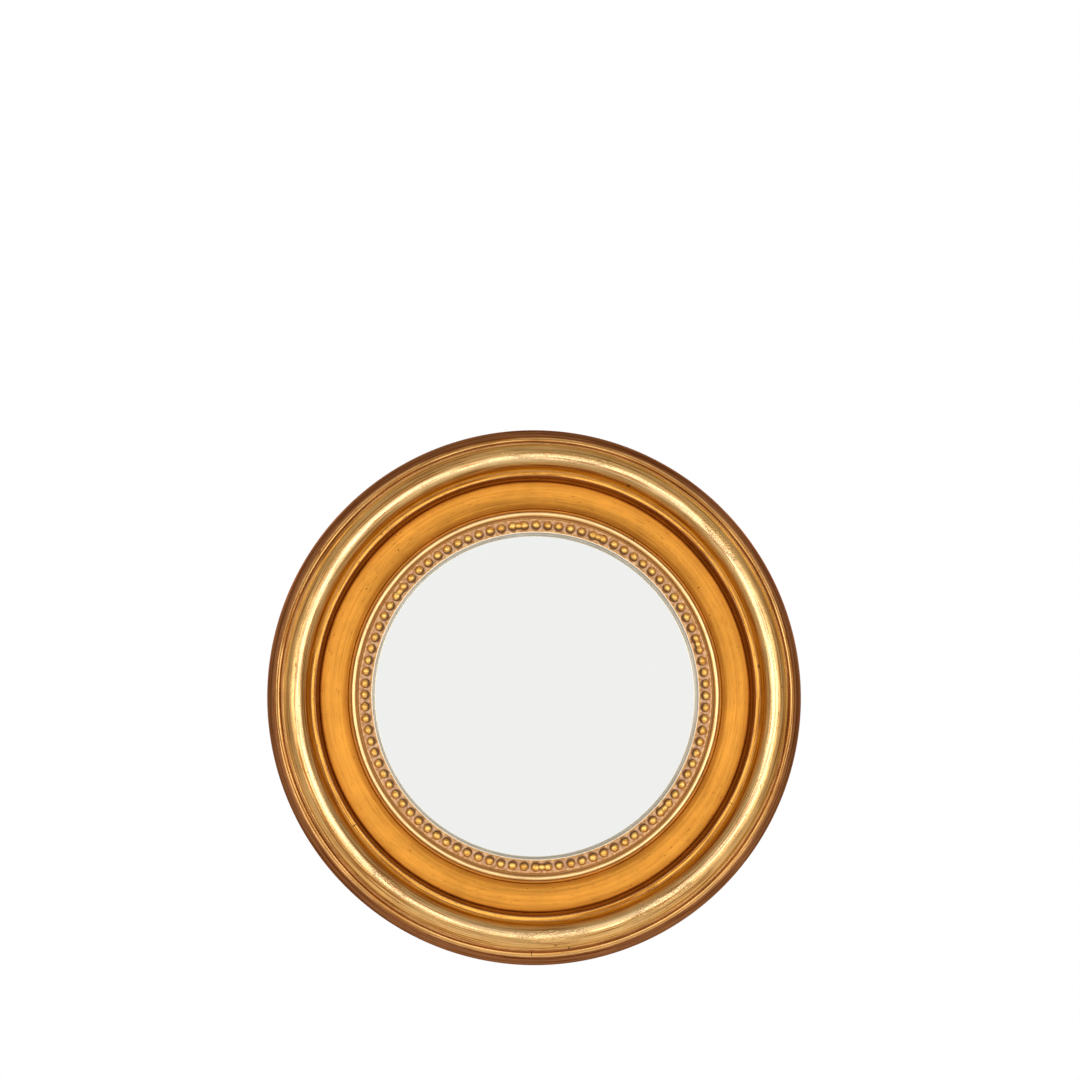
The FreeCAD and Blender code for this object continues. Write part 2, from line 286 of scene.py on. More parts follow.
def uneven(piece, depth, grain, level=0.5, test=None):
    """The slight unevenness that work by hand leaves, as deep and as long as given. A level of 1
    only sinks the surface. The test says which points of the mesh may move."""
    texture = bpy.data.textures.new(piece.name + "_unevenness", "CLOUDS")
    texture.noise_scale = grain
    texture.noise_depth = 1
    group = piece.vertex_groups.new(name="uneven")
    group.add([vert.index for vert in piece.data.vertices if not test or test(vert.co)], 1.0, "REPLACE")
    finish_with(piece, "DISPLACE", texture=texture, strength=depth, mid_level=level,
                texture_coords="LOCAL", vertex_group=group.name)
    piece.vertex_groups.clear()


def joined(pieces):
    """Joins pieces into the first of them."""
    pick_out(*pieces)
    bpy.ops.object.join()
    return pieces[0]


def copied(piece, matrix, name):
    """A copy of a piece with its own mesh, moved within the mesh."""
    twin = piece.copy()
    twin.data = piece.data.copy()
    twin.name = name
    twin.data.transform(matrix)
    bpy.context.scene.collection.objects.link(twin)
    return twin


def remove(piece):
    """Takes away a model that was only there to be copied or to cut with."""
    bpy.data.objects.remove(piece)


def settle(piece):
    """Applies the object's place, turn and scale to its mesh."""
    pick_out(piece)
    bpy.ops.object.transform_apply(location=True, rotation=True, scale=True)


def about_axis(angle):
    """A turn about the mirror's axis, in degrees anticlockwise as seen from the front."""
    return Matrix.Rotation(math.radians(-angle), 4, "Y")


def on_ring(radius, height, angle):
    """A point at a radius, a height off the wall and an angle in degrees."""
    return Vector((radius * math.cos(math.radians(angle)), -height,
                   radius * math.sin(math.radians(angle))))


# ---- Colours and nodes

def colour(code):
    """An sRGB hex colour as linear red, green, blue and alpha."""
    parts = [int(code[at:at + 2], 16) / 255 for at in (1, 3, 5)]
    linear = [part / 12.92 if part <= 0.04045 else ((part + 0.055) / 1.055) ** 2.4 for part in parts]
    return (*linear, 1.0)


def add(tree, kind, inputs=None, **settings):
    """Adds a node. inputs maps its sockets to values, or to the nodes or sockets that feed them."""
    node = tree.nodes.new("ShaderNode" + kind)
    for name, value in settings.items():
        setattr(node, name, value)
    for socket, value in (inputs or {}).items():
        if isinstance(value, bpy.types.Node):
            value = next(out for out in value.outputs if out.enabled)
        if isinstance(value, bpy.types.NodeSocket):
            tree.links.new(value, node.inputs[socket])
        else:
            node.inputs[socket].default_value = value
    return node


def blank(name):
    """A new material with an empty node tree."""
    made = bpy.data.materials.new(name)
    made.use_nodes = True
    made.node_tree.nodes.clear()
    return made, made.node_tree


# The sockets of a Mix node that mixes colours.
MIX_A = 6
MIX_B = 7
# Nearly all of a noise's values lie between these.
LOW = 0.3
HIGH = 0.7


def grain_scale(across, through, up):
    """The scale that draws a pattern's grain to these lengths along X, Y and Z."""
    return 1 / across, 1 / through, 1 / up


def turned_space(tree):
    """Where a point lies on turned work: its place, radius, turned direction and height axis."""
    place = add(tree, "TexCoord").outputs["Object"]
    flat = add(tree, "VectorMath", {0: place, 1: (1, 0, 1)}, operation="MULTIPLY")
    radius = add(tree, "VectorMath", {0: flat}, operation="LENGTH")
    heading = add(tree, "VectorMath", {0: flat}, operation="NORMALIZE")
    height = add(tree, "SeparateXYZ", {0: place}).outputs["Y"]
    return place, radius, heading, height


def streaks(tree, space, long, wide, at_radius, detail=3.0):
    """Noise drawn out along the turning: streaks as long and as wide as given, in metres."""
    _, radius, heading, height = space
    reach = at_radius / long
    across = add(tree, "Math", {0: radius, 1: 1 / wide}, operation="MULTIPLY")
    rising = add(tree, "Math", {0: height, 1: 1 / wide}, operation="MULTIPLY")
    radial = add(tree, "CombineXYZ", {"Y": across})
    spot = add(tree, "VectorMath", {0: heading, 1: (reach, reach, reach), 2: radial},
               operation="MULTIPLY_ADD")
    return add(tree, "TexNoise", {"Vector": spot, "W": rising, "Scale": 1.0, "Detail": detail,
                                  "Roughness": 0.6}, noise_dimensions="4D")


# Gilding: thin leaf on clay and gesso, over turned wood. Burnished leaf mirrors softly; matt leaf
# keeps the brush's streaks; wax and shellac tone both brown where the cloth didn't reach.
BOLE = "#8A3E1C"
UMBER = "#3C1C08"
TONER = "#AC8040"
WANDER = 0.30 * MM               # how far the toning's edges stray
LEAF_EDGE = 0.2 * MM             # over how far the leaf thins out where it ends
ZONE_EDGE = 0.6 * MM             # over how far a duller or brighter zone fades out
# The tones that this leaves, from leaf rubbed nearly clean to toner that was never wiped. Several of
# them also hold painted highlight and painted shade, as each says.
RUBBED_AND_HIGHLIGHT = "#ECC894"               # crests: leaf polished pale, with a painted highlight in it
WAXED = "#E4B26E"                # outer slopes and fillet, under brown wax
LEAF = "#DCA24A"                 # plain leaf, thinly waxed
AMBER_AND_SHADE = "#C87A18"                # the hollow: shellac lying thick but clear, darkened further as painted shade
MATT_LEAF = "#CA8A36"            # leaf that wasn't burnished, under shellac
OLIVE_TONER_AND_SHADE = "#CAA266"                # flanks beside the crest: a thin film of toner, darkened further as painted shade
GESSO = "#F2E9DA"                # the sight edge, where leaf has worn off the gesso
GROOVE = "#C08C54"               # narrow grooves, wiped out roughly
SHELLAC_AND_SHADE = "#C07C2C"              # the foot of a slope, where shellac pooled; at the scoop's outer edge it is painted shade under the lip
DEEP_TONER_AND_SHADE = "#B0641A"                 # the open joint: toner never wiped, darkened further as painted shade
WASH = "#94603A"                 # umber wash on the outermost edge


def spots_at(tree, place, spots, ragged):
    """How far a point lies inside any of some spots of (angle, radius, length along the turning,
    width across it): 1 inside, 0 outside, with a ragged edge."""
    inside = None
    for angle, at, length, width in spots:
        local = add(tree, "Mapping", {0: place, "Location": on_ring(at, 0, angle),
                                      "Rotation": (0, -math.radians(angle), 0),
                                      "Scale": (width / 2, 1, length / 2)}, vector_type="TEXTURE")
        off = add(tree, "VectorMath", {0: local}, operation="LENGTH")
        torn = add(tree, "Math", {0: off, 1: ragged}, operation="ADD")
        spot = add(tree, "MapRange", {0: torn, 1: 0.75, 2: 1.25, 3: 1.0, 4: 0.0})
        inside = add(tree, "Math", {0: inside, 1: spot}, operation="MAXIMUM") if inside else spot
    return inside


def gilding(name, bands, leaf_from, leaf_to=None, streak=0.35 * MM, toning=0.6, crinkle=0.10 * MM,
            bole_share=0.35, toned_metal=0.35, flaws=(), gritty=(), metal_zones=()):
    """Gilded finish. bands is a list of (radius, tone, roughness), from the inside out; flaws and
    gritty are spots as spots_at takes them; metal_zones are (radius, half width, metallic share)."""
    made, tree = blank(name)
    space = turned_space(tree)
    place, radius = space[:2]
    inner = bands[0][0]
    outer = bands[-1][0]
    middle = (inner + outer) / 2
    wander = add(tree, "TexNoise", {"Vector": place, "Scale": 1 / (6 * MM), "Detail": 3.0})
    drift = add(tree, "MapRange", {0: wander, 3: -WANDER, 4: WANDER})
    band_radius = add(tree, "Math", {0: radius, 1: drift}, operation="ADD")
    share = add(tree, "MapRange", {0: band_radius, 1: inner, 2: outer})
    ramp = add(tree, "ValToRGB", {0: share})
    stops = ramp.color_ramp.elements
    while len(stops) > 1:
        stops.remove(stops[-1])
    for number, (at, code, roughness) in enumerate(bands):
        stop = stops[0] if number == 0 else stops.new(1)
        stop.position = (at - inner) / (outer - inner)
        stop.color = (*colour(code)[:3], roughness)
    tone = ramp.outputs["Color"]
    # Toner stays in long soft streaks where the cloth passed, and turns the leaf olive-brown.
    long = streaks(tree, space, 50 * MM, 0.9 * MM, middle, detail=4.0)
    cloth = add(tree, "MapRange", {0: long, 1: 0.44, 2: 0.64, 3: 0.0, 4: toning},
                interpolation_type="SMOOTHSTEP")
    waxed = add(tree, "Mix", {0: cloth, MIX_A: tone, MIX_B: colour(TONER)}, data_type="RGBA",
                blend_type="MULTIPLY")
    # Fine streaks along the turning, and broad patches, are lighter and darker.
    fine = streaks(tree, space, 14 * MM, streak, middle)
    patch = add(tree, "TexNoise", {"Vector": place, "Scale": 1 / (13 * MM), "Detail": 4.0})
    fine_gain = add(tree, "MapRange", {0: fine, 1: LOW, 2: HIGH, 3: 0.82, 4: 1.16})
    patch_gain = add(tree, "MapRange", {0: patch, 1: LOW, 2: HIGH, 3: 0.90, 4: 1.09})
    gain = add(tree, "Math", {0: fine_gain, 1: patch_gain}, operation="MULTIPLY")
    streaked = add(tree, "VectorMath", {0: waxed, "Scale": gain}, operation="SCALE")
    # Bole shows through in worn flecks.
    worn = streaks(tree, space, 4 * MM, 0.8 * MM, middle, detail=5.0)
    fleck = add(tree, "MapRange", {0: worn, 1: 0.59, 2: 0.70, 3: 0.0, 4: bole_share},
                interpolation_type="SMOOTHSTEP")
    rubbed = add(tree, "Mix", {0: fleck, MIX_A: streaked, MIX_B: colour(BOLE)}, data_type="RGBA")
    # Small dark pits and fly specks, then knocks and cracks at their own places.
    pits = add(tree, "TexVoronoi", {"Vector": place, "Scale": 1 / (6 * MM), "Randomness": 1.0})
    size = add(tree, "TexNoise", {"Vector": place, "Scale": 1 / (9 * MM), "Detail": 1.0})
    edge = add(tree, "MapRange", {0: size, 1: 0.45, 2: 0.75, 3: 0.0, 4: 0.085})
    dark = add(tree, "Math", {0: pits.outputs["Distance"], 1: edge}, operation="LESS_THAN")
    chips = add(tree, "TexNoise", {"Vector": place, "Scale": 1 / (0.5 * MM), "Detail": 2.0})
    ragged = add(tree, "MapRange", {0: chips, 3: -0.5, 4: 0.5})
    if flaws:
        knocks = spots_at(tree, place, flaws, ragged)
        dark = add(tree, "Math", {0: dark, 1: knocks}, operation="MAXIMUM")
    dark_share = add(tree, "Math", {0: dark, 1: 0.85}, operation="MULTIPLY")
    speckled = add(tree, "Mix", {0: dark_share, MIX_A: rubbed, MIX_B: colour(UMBER)}, data_type="RGBA")
    # Metal where leaf lies, less where brown toner covers it.
    metal = add(tree, "MapRange", {0: band_radius, 1: leaf_from - LEAF_EDGE, 2: leaf_from + LEAF_EDGE,
                                   3: toned_metal, 4: 1.0})
    if leaf_to:
        ending = add(tree, "MapRange", {0: band_radius, 1: leaf_to - LEAF_EDGE, 2: leaf_to + LEAF_EDGE,
                                        3: 1.0, 4: toned_metal})
        metal = add(tree, "Math", {0: metal, 1: ending}, operation="MINIMUM")
    for at, half, metallic_share in metal_zones:
        off = add(tree, "Math", {0: band_radius, 1: at}, operation="SUBTRACT")
        away = add(tree, "Math", {0: off}, operation="ABSOLUTE")
        zone = add(tree, "MapRange", {0: away, 1: half, 2: half + ZONE_EDGE, 3: 1.0, 4: 0.0})
        metal = add(tree, "Mix", {0: zone, 2: metal, 3: metallic_share})
    covered = add(tree, "Math", {0: fleck, 1: dark_share}, operation="MAXIMUM")
    bare = add(tree, "Math", {0: 1.0, 1: covered}, operation="SUBTRACT")
    metallic = add(tree, "Math", {0: metal, 1: bare}, operation="MULTIPLY")
    # Roughness varies with the streaks, and toner dulls the leaf.
    shift = add(tree, "MapRange", {0: fine, 1: LOW, 2: HIGH, 3: -0.06, 4: 0.08})
    rough = add(tree, "Math", {0: ramp.outputs["Alpha"], 1: shift}, operation="ADD")
    duller = add(tree, "Math", {0: cloth, 1: 0.12, 2: rough}, operation="MULTIPLY_ADD")
    rougher = add(tree, "Math", {0: duller, 1: covered}, operation="ADD", use_clamp=True)
    # Relief: the brush's streaks, the leaf's crinkles across the moulding, grit and pits.
    crinkles = streaks(tree, space, 1.3 * MM, 2.6 * MM, middle, detail=2.0)
    relief = add(tree, "Bump", {"Height": fine, "Distance": crinkle * 0.35, "Strength": 0.5})
    relief = add(tree, "Bump", {"Height": crinkles, "Distance": crinkle, "Strength": 0.5,
                                "Normal": relief})
    if gritty:
        zone = spots_at(tree, place, gritty, ragged)
        sand = add(tree, "TexNoise", {"Vector": place, "Scale": 1 / (1.0 * MM), "Detail": 3.0})
        grit = add(tree, "Math", {0: zone, 1: sand}, operation="MULTIPLY")
        relief = add(tree, "Bump", {"Height": grit, "Distance": 0.70 * MM, "Strength": 0.9,
                                    "Normal": relief})
    relief = add(tree, "Bump", {"Height": dark, "Distance": 0.10 * MM, "Strength": 0.6,
                                "Normal": relief}, invert=True)
    shader = add(tree, "BsdfPrincipled", {"Base Color": speckled, "Metallic": metallic,
                                          "Roughness": rougher, "Normal": relief,
                                          "Specular IOR Level": 0.3,
                                          "Specular Tint": colour("#C09A6C")})
    add(tree, "OutputMaterial", {0: shader})
    return made


def bare_wood(name):
    """Planed and turned light hardwood, left bare: straight grain in six glued segments."""
    made, tree = blank(name)
    place = add(tree, "TexCoord").outputs["Object"]
    parts = add(tree, "SeparateXYZ", {0: place})
    swing = add(tree, "Math", {0: parts.outputs["Z"], 1: parts.outputs["X"]}, operation="ARCTAN2")
    segment = math.radians(60)
    snapped = add(tree, "Math", {0: swing, 1: segment}, operation="SNAP")
    middle = add(tree, "Math", {0: snapped, 1: segment / 2}, operation="ADD")
    straight = add(tree, "VectorRotate", {"Vector": place, "Axis": (0, 1, 0), "Angle": middle},
                   rotation_type="AXIS_ANGLE")
    offset = add(tree, "VectorMath", {0: (1.7, 3.1, 0.9), "Scale": middle}, operation="SCALE")
    shifted = add(tree, "VectorMath", {0: straight, 1: offset}, operation="ADD")
    # After the turn, the segment's chord runs along Z.
    stretched = add(tree, "VectorMath", {0: shifted, 1: grain_scale(1.1 * MM, 1.1 * MM, 28 * MM)},
                    operation="MULTIPLY")
    fibre = add(tree, "TexNoise", {"Vector": stretched, "Scale": 1.0, "Detail": 5.0, "Roughness": 0.62,
                                   "Distortion": 0.4})
    pale = add(tree, "MapRange", {0: fibre, 1: 0.32, 2: 0.68})
    wood = add(tree, "Mix", {0: pale, MIX_A: colour("#A9784A"), MIX_B: colour("#D6B083")},
               data_type="RGBA")
    pore_space = add(tree, "VectorMath", {0: shifted, 1: grain_scale(0.35 * MM, 0.35 * MM, 4 * MM)},
                     operation="MULTIPLY")
    pore = add(tree, "TexNoise", {"Vector": pore_space, "Scale": 1.0, "Detail": 2.0})
    pores = add(tree, "MapRange", {0: pore, 1: 0.62, 2: 0.74, 3: 0.0, 4: 0.55})
    pored = add(tree, "Mix", {0: pores, MIX_A: wood, MIX_B: colour("#6E4424")}, data_type="RGBA")
    # Each glue line between segments is a thin dark line.
    within = add(tree, "Math", {0: swing, 1: segment}, operation="FLOORED_MODULO")
    off_joint = add(tree, "Math", {0: within, 1: 0.0022}, operation="LESS_THAN")
    glued = add(tree, "Mix", {0: off_joint, MIX_A: pored, MIX_B: colour("#5A3A20")}, data_type="RGBA")
    # Toner from the gilding has run a little way over the outer edge.
    flat = add(tree, "VectorMath", {0: place, 1: (1, 0, 1)}, operation="MULTIPLY")
    radius = add(tree, "VectorMath", {0: flat}, operation="LENGTH")
    run = add(tree, "TexNoise", {"Vector": place, "Scale": 1 / (11 * MM), "Detail": 4.0})
    reach = add(tree, "MapRange", {0: run, 1: LOW, 2: HIGH, 3: -1.4 * MM, 4: 1.4 * MM})
    edge = add(tree, "Math", {0: radius, 1: reach}, operation="ADD")
    over = add(tree, "MapRange", {0: edge, 1: outer_r - 3.6 * MM, 2: outer_r - 0.2 * MM,
                                  3: 0.0, 4: 0.8}, interpolation_type="SMOOTHSTEP")
    stained = add(tree, "Mix", {0: over, MIX_A: glued, MIX_B: colour("#6B4020")}, data_type="RGBA")
    relief = add(tree, "Bump", {"Height": pored.outputs[2], "Distance": 0.06 * MM, "Strength": 0.5})
    shader = add(tree, "BsdfPrincipled", {"Base Color": stained, "Roughness": 0.68, "Normal": relief})
    add(tree, "OutputMaterial", {0: shader})
    return made


def silvered_glass():
    """Convex glass silvered behind: a clean cool mirror with the faintest haze."""
    made, tree = blank("silvered_glass")
    place = add(tree, "TexCoord").outputs["Object"]
    haze = add(tree, "TexNoise", {"Vector": place, "Scale": 1 / (40 * MM), "Detail": 3.0})
    rough = add(tree, "MapRange", {0: haze, 1: LOW, 2: HIGH, 3: 0.010, 4: 0.030})
    silver = add(tree, "Mix", {0: haze, MIX_A: colour("#EEEFEC"), MIX_B: colour("#F0F1EF")},
                 data_type="RGBA")
    shader = add(tree, "BsdfPrincipled", {"Base Color": silver, "Metallic": 1.0, "Roughness": rough})
    add(tree, "OutputMaterial", {0: shader})
    return made


def backing_paint():
    """Grey-brown paint that protects the silvering, brushed on the back of the glass."""
    made, tree = blank("silvering_paint")
    place = add(tree, "TexCoord").outputs["Object"]
    brushed = add(tree, "Mapping", {0: place, "Scale": grain_scale(0.8 * MM, 0.8 * MM, 25 * MM)})
    stroke = add(tree, "TexNoise", {"Vector": brushed, "Scale": 1.0, "Detail": 3.0})
    coat = add(tree, "Mix", {0: stroke, MIX_A: colour("#5B554E"), MIX_B: colour("#7B736A")},
                data_type="RGBA")
    relief = add(tree, "Bump", {"Height": stroke, "Distance": 0.05 * MM, "Strength": 0.5})
    shader = add(tree, "BsdfPrincipled", {"Base Color": coat, "Roughness": 0.6, "Normal": relief})
    add(tree, "OutputMaterial", {0: shader})
    return made


def hardboard():
    """Hardboard: pressed brown fibre, with the weave of the press screen on the outer face."""
    made, tree = blank("hardboard_screen_face")
    place = add(tree, "TexCoord").outputs["Object"]
    parts = add(tree, "SeparateXYZ", {0: place})
    # The screen's real pitch is about 1.4 mm; it is drawn coarser so that it shows.
    pitch = 2 * math.pi / (2.2 * MM)
    across = add(tree, "Math", {0: parts.outputs["X"], 1: pitch}, operation="MULTIPLY")
    up = add(tree, "Math", {0: parts.outputs["Z"], 1: pitch}, operation="MULTIPLY")
    wave_x = add(tree, "Math", {0: across}, operation="SINE")
    wave_z = add(tree, "Math", {0: up}, operation="SINE")
    weave = add(tree, "Math", {0: wave_x, 1: wave_z}, operation="MULTIPLY")
    fibre = add(tree, "TexNoise", {"Vector": place, "Scale": 1 / (0.9 * MM), "Detail": 5.0,
                                   "Roughness": 0.7, "Distortion": 1.2})
    cloud = add(tree, "TexNoise", {"Vector": place, "Scale": 1 / (35 * MM), "Detail": 3.0})
    tone = add(tree, "MapRange", {0: fibre, 1: LOW, 2: HIGH})
    board = add(tree, "Mix", {0: tone, MIX_A: colour("#4F3421"), MIX_B: colour("#7A5639")},
                data_type="RGBA")
    clouded = add(tree, "MapRange", {0: cloud, 1: LOW, 2: HIGH, 3: 0.88, 4: 1.1})
    shade = add(tree, "MapRange", {0: weave, 1: -1.0, 2: 1.0, 3: 0.84, 4: 1.12})
    both = add(tree, "Math", {0: clouded, 1: shade}, operation="MULTIPLY")
    toned = add(tree, "VectorMath", {0: board, "Scale": both}, operation="SCALE")
    # Pale scuffs, long and thin, where the board was slid over a bench this way and that.
    scuffed = toned
    for turn, offset in ((0.5, 0.0), (-1.1, 7.0)):
        slid = add(tree, "VectorRotate", {"Vector": place, "Axis": (0, 1, 0), "Angle": turn},
                   rotation_type="AXIS_ANGLE")
        drawn = add(tree, "VectorMath", {0: slid, 1: grain_scale(22 * MM, 22 * MM, 0.6 * MM),
                                         2: (offset, offset, offset)}, operation="MULTIPLY_ADD")
        scuff = add(tree, "TexNoise", {"Vector": drawn, "Scale": 1.0, "Detail": 2.0})
        rubbed = add(tree, "MapRange", {0: scuff, 1: 0.68, 2: 0.76, 3: 0.0, 4: 0.30})
        scuffed = add(tree, "Mix", {0: rubbed, MIX_A: scuffed, MIX_B: colour("#A88763")},
                      data_type="RGBA")
    woven = add(tree, "Bump", {"Height": weave, "Distance": 0.16 * MM, "Strength": 0.6})
    relief = add(tree, "Bump", {"Height": fibre, "Distance": 0.08 * MM, "Strength": 0.5,
                                "Normal": woven})
    shader = add(tree, "BsdfPrincipled", {"Base Color": scuffed, "Roughness": 0.66, "Normal": relief})
    add(tree, "OutputMaterial", {0: shader})
    return made


def grey_card():
    """Grey card: felted paper fibre, slightly mottled."""
    made, tree = blank("grey_card")
    place = add(tree, "TexCoord").outputs["Object"]
    fibre = add(tree, "TexNoise", {"Vector": place, "Scale": 1 / (0.6 * MM), "Detail": 5.0,
                                   "Distortion": 2.0})
    card = add(tree, "Mix", {0: fibre, MIX_A: colour("#8A8276"), MIX_B: colour("#B4AB9C")},
               data_type="RGBA")
    relief = add(tree, "Bump", {"Height": fibre, "Distance": 0.05 * MM, "Strength": 0.4})
    shader = add(tree, "BsdfPrincipled", {"Base Color": card, "Roughness": 0.85, "Normal": relief})
    add(tree, "OutputMaterial", {0: shader})
    return made


def plated_steel(name, bright, dull, roughness, spangle):
    """Plated pressed steel: a thin bright coat, hazed by handling, with fine rolling lines."""
    made, tree = blank(name)
    place = add(tree, "TexCoord").outputs["Object"]
    haze = add(tree, "TexNoise", {"Vector": place, "Scale": 1 / spangle, "Detail": 4.0})
    metal = add(tree, "Mix", {0: haze, MIX_A: colour(dull), MIX_B: colour(bright)}, data_type="RGBA")
    rough = add(tree, "MapRange", {0: haze, 1: LOW, 2: HIGH, 3: roughness + 0.10, 4: roughness - 0.06})
    lines = add(tree, "Mapping", {0: place, "Scale": grain_scale(0.12 * MM, 0.12 * MM, 6 * MM)})
    rolling = add(tree, "TexNoise", {"Vector": lines, "Scale": 1.0, "Detail": 2.0})
    relief = add(tree, "Bump", {"Height": rolling, "Distance": 0.012 * MM, "Strength": 0.5})
    shader = add(tree, "BsdfPrincipled", {"Base Color": metal, "Metallic": 1.0, "Roughness": rough,
                                          "Normal": relief})
    add(tree, "OutputMaterial", {0: shader})
    return made


def wool_felt():
    """Pressed wool felt: dark brown-grey fibres, a soft sheen and no gloss."""
    made, tree = blank("wool_felt")
    place = add(tree, "TexCoord").outputs["Object"]
    fibre = add(tree, "TexNoise", {"Vector": place, "Scale": 1 / (0.35 * MM), "Detail": 6.0,
                                   "Roughness": 0.75, "Distortion": 2.5})
    lint = add(tree, "TexNoise", {"Vector": place, "Scale": 1 / (2.5 * MM), "Detail": 3.0})
    tone = add(tree, "MapRange", {0: fibre, 1: LOW, 2: HIGH})
    wool = add(tree, "Mix", {0: tone, MIX_A: colour("#3A3128"), MIX_B: colour("#6A5C4B")},
               data_type="RGBA")
    gain = add(tree, "MapRange", {0: lint, 1: LOW, 2: HIGH, 3: 0.85, 4: 1.15})
    toned = add(tree, "VectorMath", {0: wool, "Scale": gain}, operation="SCALE")
    relief = add(tree, "Bump", {"Height": fibre, "Distance": 0.2 * MM, "Strength": 0.7})
    shader = add(tree, "BsdfPrincipled", {"Base Color": toned, "Roughness": 0.95, "Normal": relief,
                                          "Sheen Weight": 0.5, "Sheen Roughness": 0.5})
    add(tree, "OutputMaterial", {0: shader})
    return made


def give(piece, slot, body, *nodes):
    """The piece rides on a body and stands for CAD nodes, which it hides. The slot is not used."""
    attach(piece, body)
    if nodes:
        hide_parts(*nodes)


def paint(piece, materials, pick=lambda middle, normal: 0):
    """Gives the piece its materials. pick says which of them a face gets, by its middle and normal,
    and without it every face gets the first."""
    piece.data.materials.clear()
    for entry in materials:
        piece.data.materials.append(entry)
    for face in piece.data.polygons:
        face.material_index = pick(face.center, face.normal)


# ---- The turned rings

lip_round = lip_width / 2
fillet_round = fillet_width / 2
torus_round = torus_width / 2
astragal_round = astragal_width / 2
ovolo_top = seat + ovolo_height
outer_side = ovolo_top - ovolo_drop + 0.2 * MM
# Gesso fills the corner between the hollow and the torus, so that one sweeps up into the other.
SWEEP = 12                       # degrees of the torus's round that the gesso hides
sweep_end = Vector((torus_r0 + torus_round * (1 - math.cos(math.radians(SWEEP))),
                    crest - torus_round * (1 - math.sin(math.radians(SWEEP)))))

crest_highlight_line = torus_r0 + 0.45 * torus_width     # middle of the crest's pale band, rubbed leaf with a painted highlight, just inside the crest
burnished = gilding("burnished_leaf_on_bole", [
    # The lip's foot, in the open joint, is darkened partly by toner and partly as painted shade.
    (lip_foot_r, DEEP_TONER_AND_SHADE, 0.58),
    (lip_r0, LEAF, 0.42),
    (lip_r1, LEAF, 0.42),
    # The hollow's amber is partly thick shellac and partly painted shade.
    (lip_r1 + 0.7 * MM, AMBER_AND_SHADE, 0.50),
    (torus_r0 + 0.2 * MM, AMBER_AND_SHADE, 0.46),
    # Round the crest: a pale band, partly rubbed leaf and partly a painted highlight, between olive
    # bands that are partly toner and partly painted shade.
    (crest_highlight_line - 3.0 * MM, OLIVE_TONER_AND_SHADE, 0.34),
    (crest_highlight_line - 1.1 * MM, RUBBED_AND_HIGHLIGHT, 0.22),
    (crest_highlight_line + 0.2 * MM, RUBBED_AND_HIGHLIGHT, 0.20),
    (crest_highlight_line + 1.5 * MM, OLIVE_TONER_AND_SHADE, 0.28),
    (torus_r1 - 2.0 * MM, WAXED, 0.38),
    (torus_r1 - 0.4 * MM, WAXED, 0.42),
    (fillet_r0, GROOVE, 0.50),
    (fillet_r0 + 0.4 * MM, WAXED, 0.34),
    (fillet_r1, WAXED, 0.34),
    (fillet_r1 + 1.0 * MM, WASH, 0.46),
    (outer_r, WASH, 0.48)],
    leaf_from=lip_foot_r + 0.3 * MM, leaf_to=fillet_r1 + 0.3 * MM, toned_metal=0.80,
    toning=0.90, crinkle=0.20 * MM, streak=0.30 * MM,
    metal_zones=[(lip_r1 + 0.1 * MM, 0.2 * MM, 0.35), (torus_r0 + 0.8 * MM, 1.5 * MM, 0.35),
                 (fillet_r0 - 0.5 * MM, 0.6 * MM, 0.50)],
    flaws=[(7.4, 117.2 * MM, 2.0 * MM, 0.9 * MM), (215.7, 116.0 * MM, 0.45 * MM, 3.0 * MM),
           (66.3, 119.4 * MM, 1.8 * MM, 0.8 * MM), (196.0, 122.1 * MM, 0.6 * MM, 0.6 * MM),
           (264.8, 123.2 * MM, 0.7 * MM, 0.5 * MM), (274.2, 129.6 * MM, 1.3 * MM, 0.5 * MM),
           (269.0, 134.0 * MM, 0.4 * MM, 2.4 * MM), (331.0, 116.0 * MM, 0.35 * MM, 2.6 * MM)],
    gritty=[(85.0, 124.4 * MM, 52 * MM, 5.0 * MM), (274.0, 124.6 * MM, 30 * MM, 9.0 * MM),
            (301.0, 124.8 * MM, 30 * MM, 6.0 * MM), (232.0, 123.6 * MM, 18 * MM, 5.0 * MM),
            (40.0, 125.6 * MM, 24 * MM, 5.0 * MM)])

matt = gilding("matt_leaf_toned", [
    (sight_r, GESSO, 0.50),
    (strip_r1 - 1.0 * MM, GROOVE, 0.50),
    (astragal_r0, GROOVE, 0.46),
    (astragal_r0 + 0.7 * MM, WAXED, 0.34),
    # The astragal's pale crest is partly rubbed leaf and partly a painted highlight.
    (astragal_r0 + astragal_round, RUBBED_AND_HIGHLIGHT, 0.30),
    (astragal_r1 - 0.7 * MM, WAXED, 0.34),
    (astragal_r1 + 0.5 * MM, SHELLAC_AND_SHADE, 0.50),
    (scoop_r0 + 1.0 * MM, SHELLAC_AND_SHADE, 0.50),
    (scoop_r0 + 3.0 * MM, MATT_LEAF, 0.48),
    (scoop_r1 - 4.2 * MM, MATT_LEAF, 0.48),
    # Towards the scoop's outer edge the tone darkens as painted shade under the lip, down into the open
    # joint, which is partly toner and partly painted shade.
    (scoop_r1 - 1.2 * MM, SHELLAC_AND_SHADE, 0.55),
    (scoop_r1 + 0.3 * MM, DEEP_TONER_AND_SHADE, 0.60)],
    leaf_from=astragal_r0, streak=0.80 * MM, toning=0.20, crinkle=0.05 * MM, bole_share=0.25,
    metal_zones=[(astragal_r0, 0.1 * MM, 0.35), (astragal_r1 + 0.1 * MM, 0.1 * MM, 0.45)],
    flaws=[(57.9, 96.7 * MM, 0.5 * MM, 1.6 * MM), (33.5, 103.0 * MM, 0.6 * MM, 0.8 * MM),
           (148.0, 104.5 * MM, 0.7 * MM, 0.5 * MM)])

bare = bare_wood("bare_turned_wood")


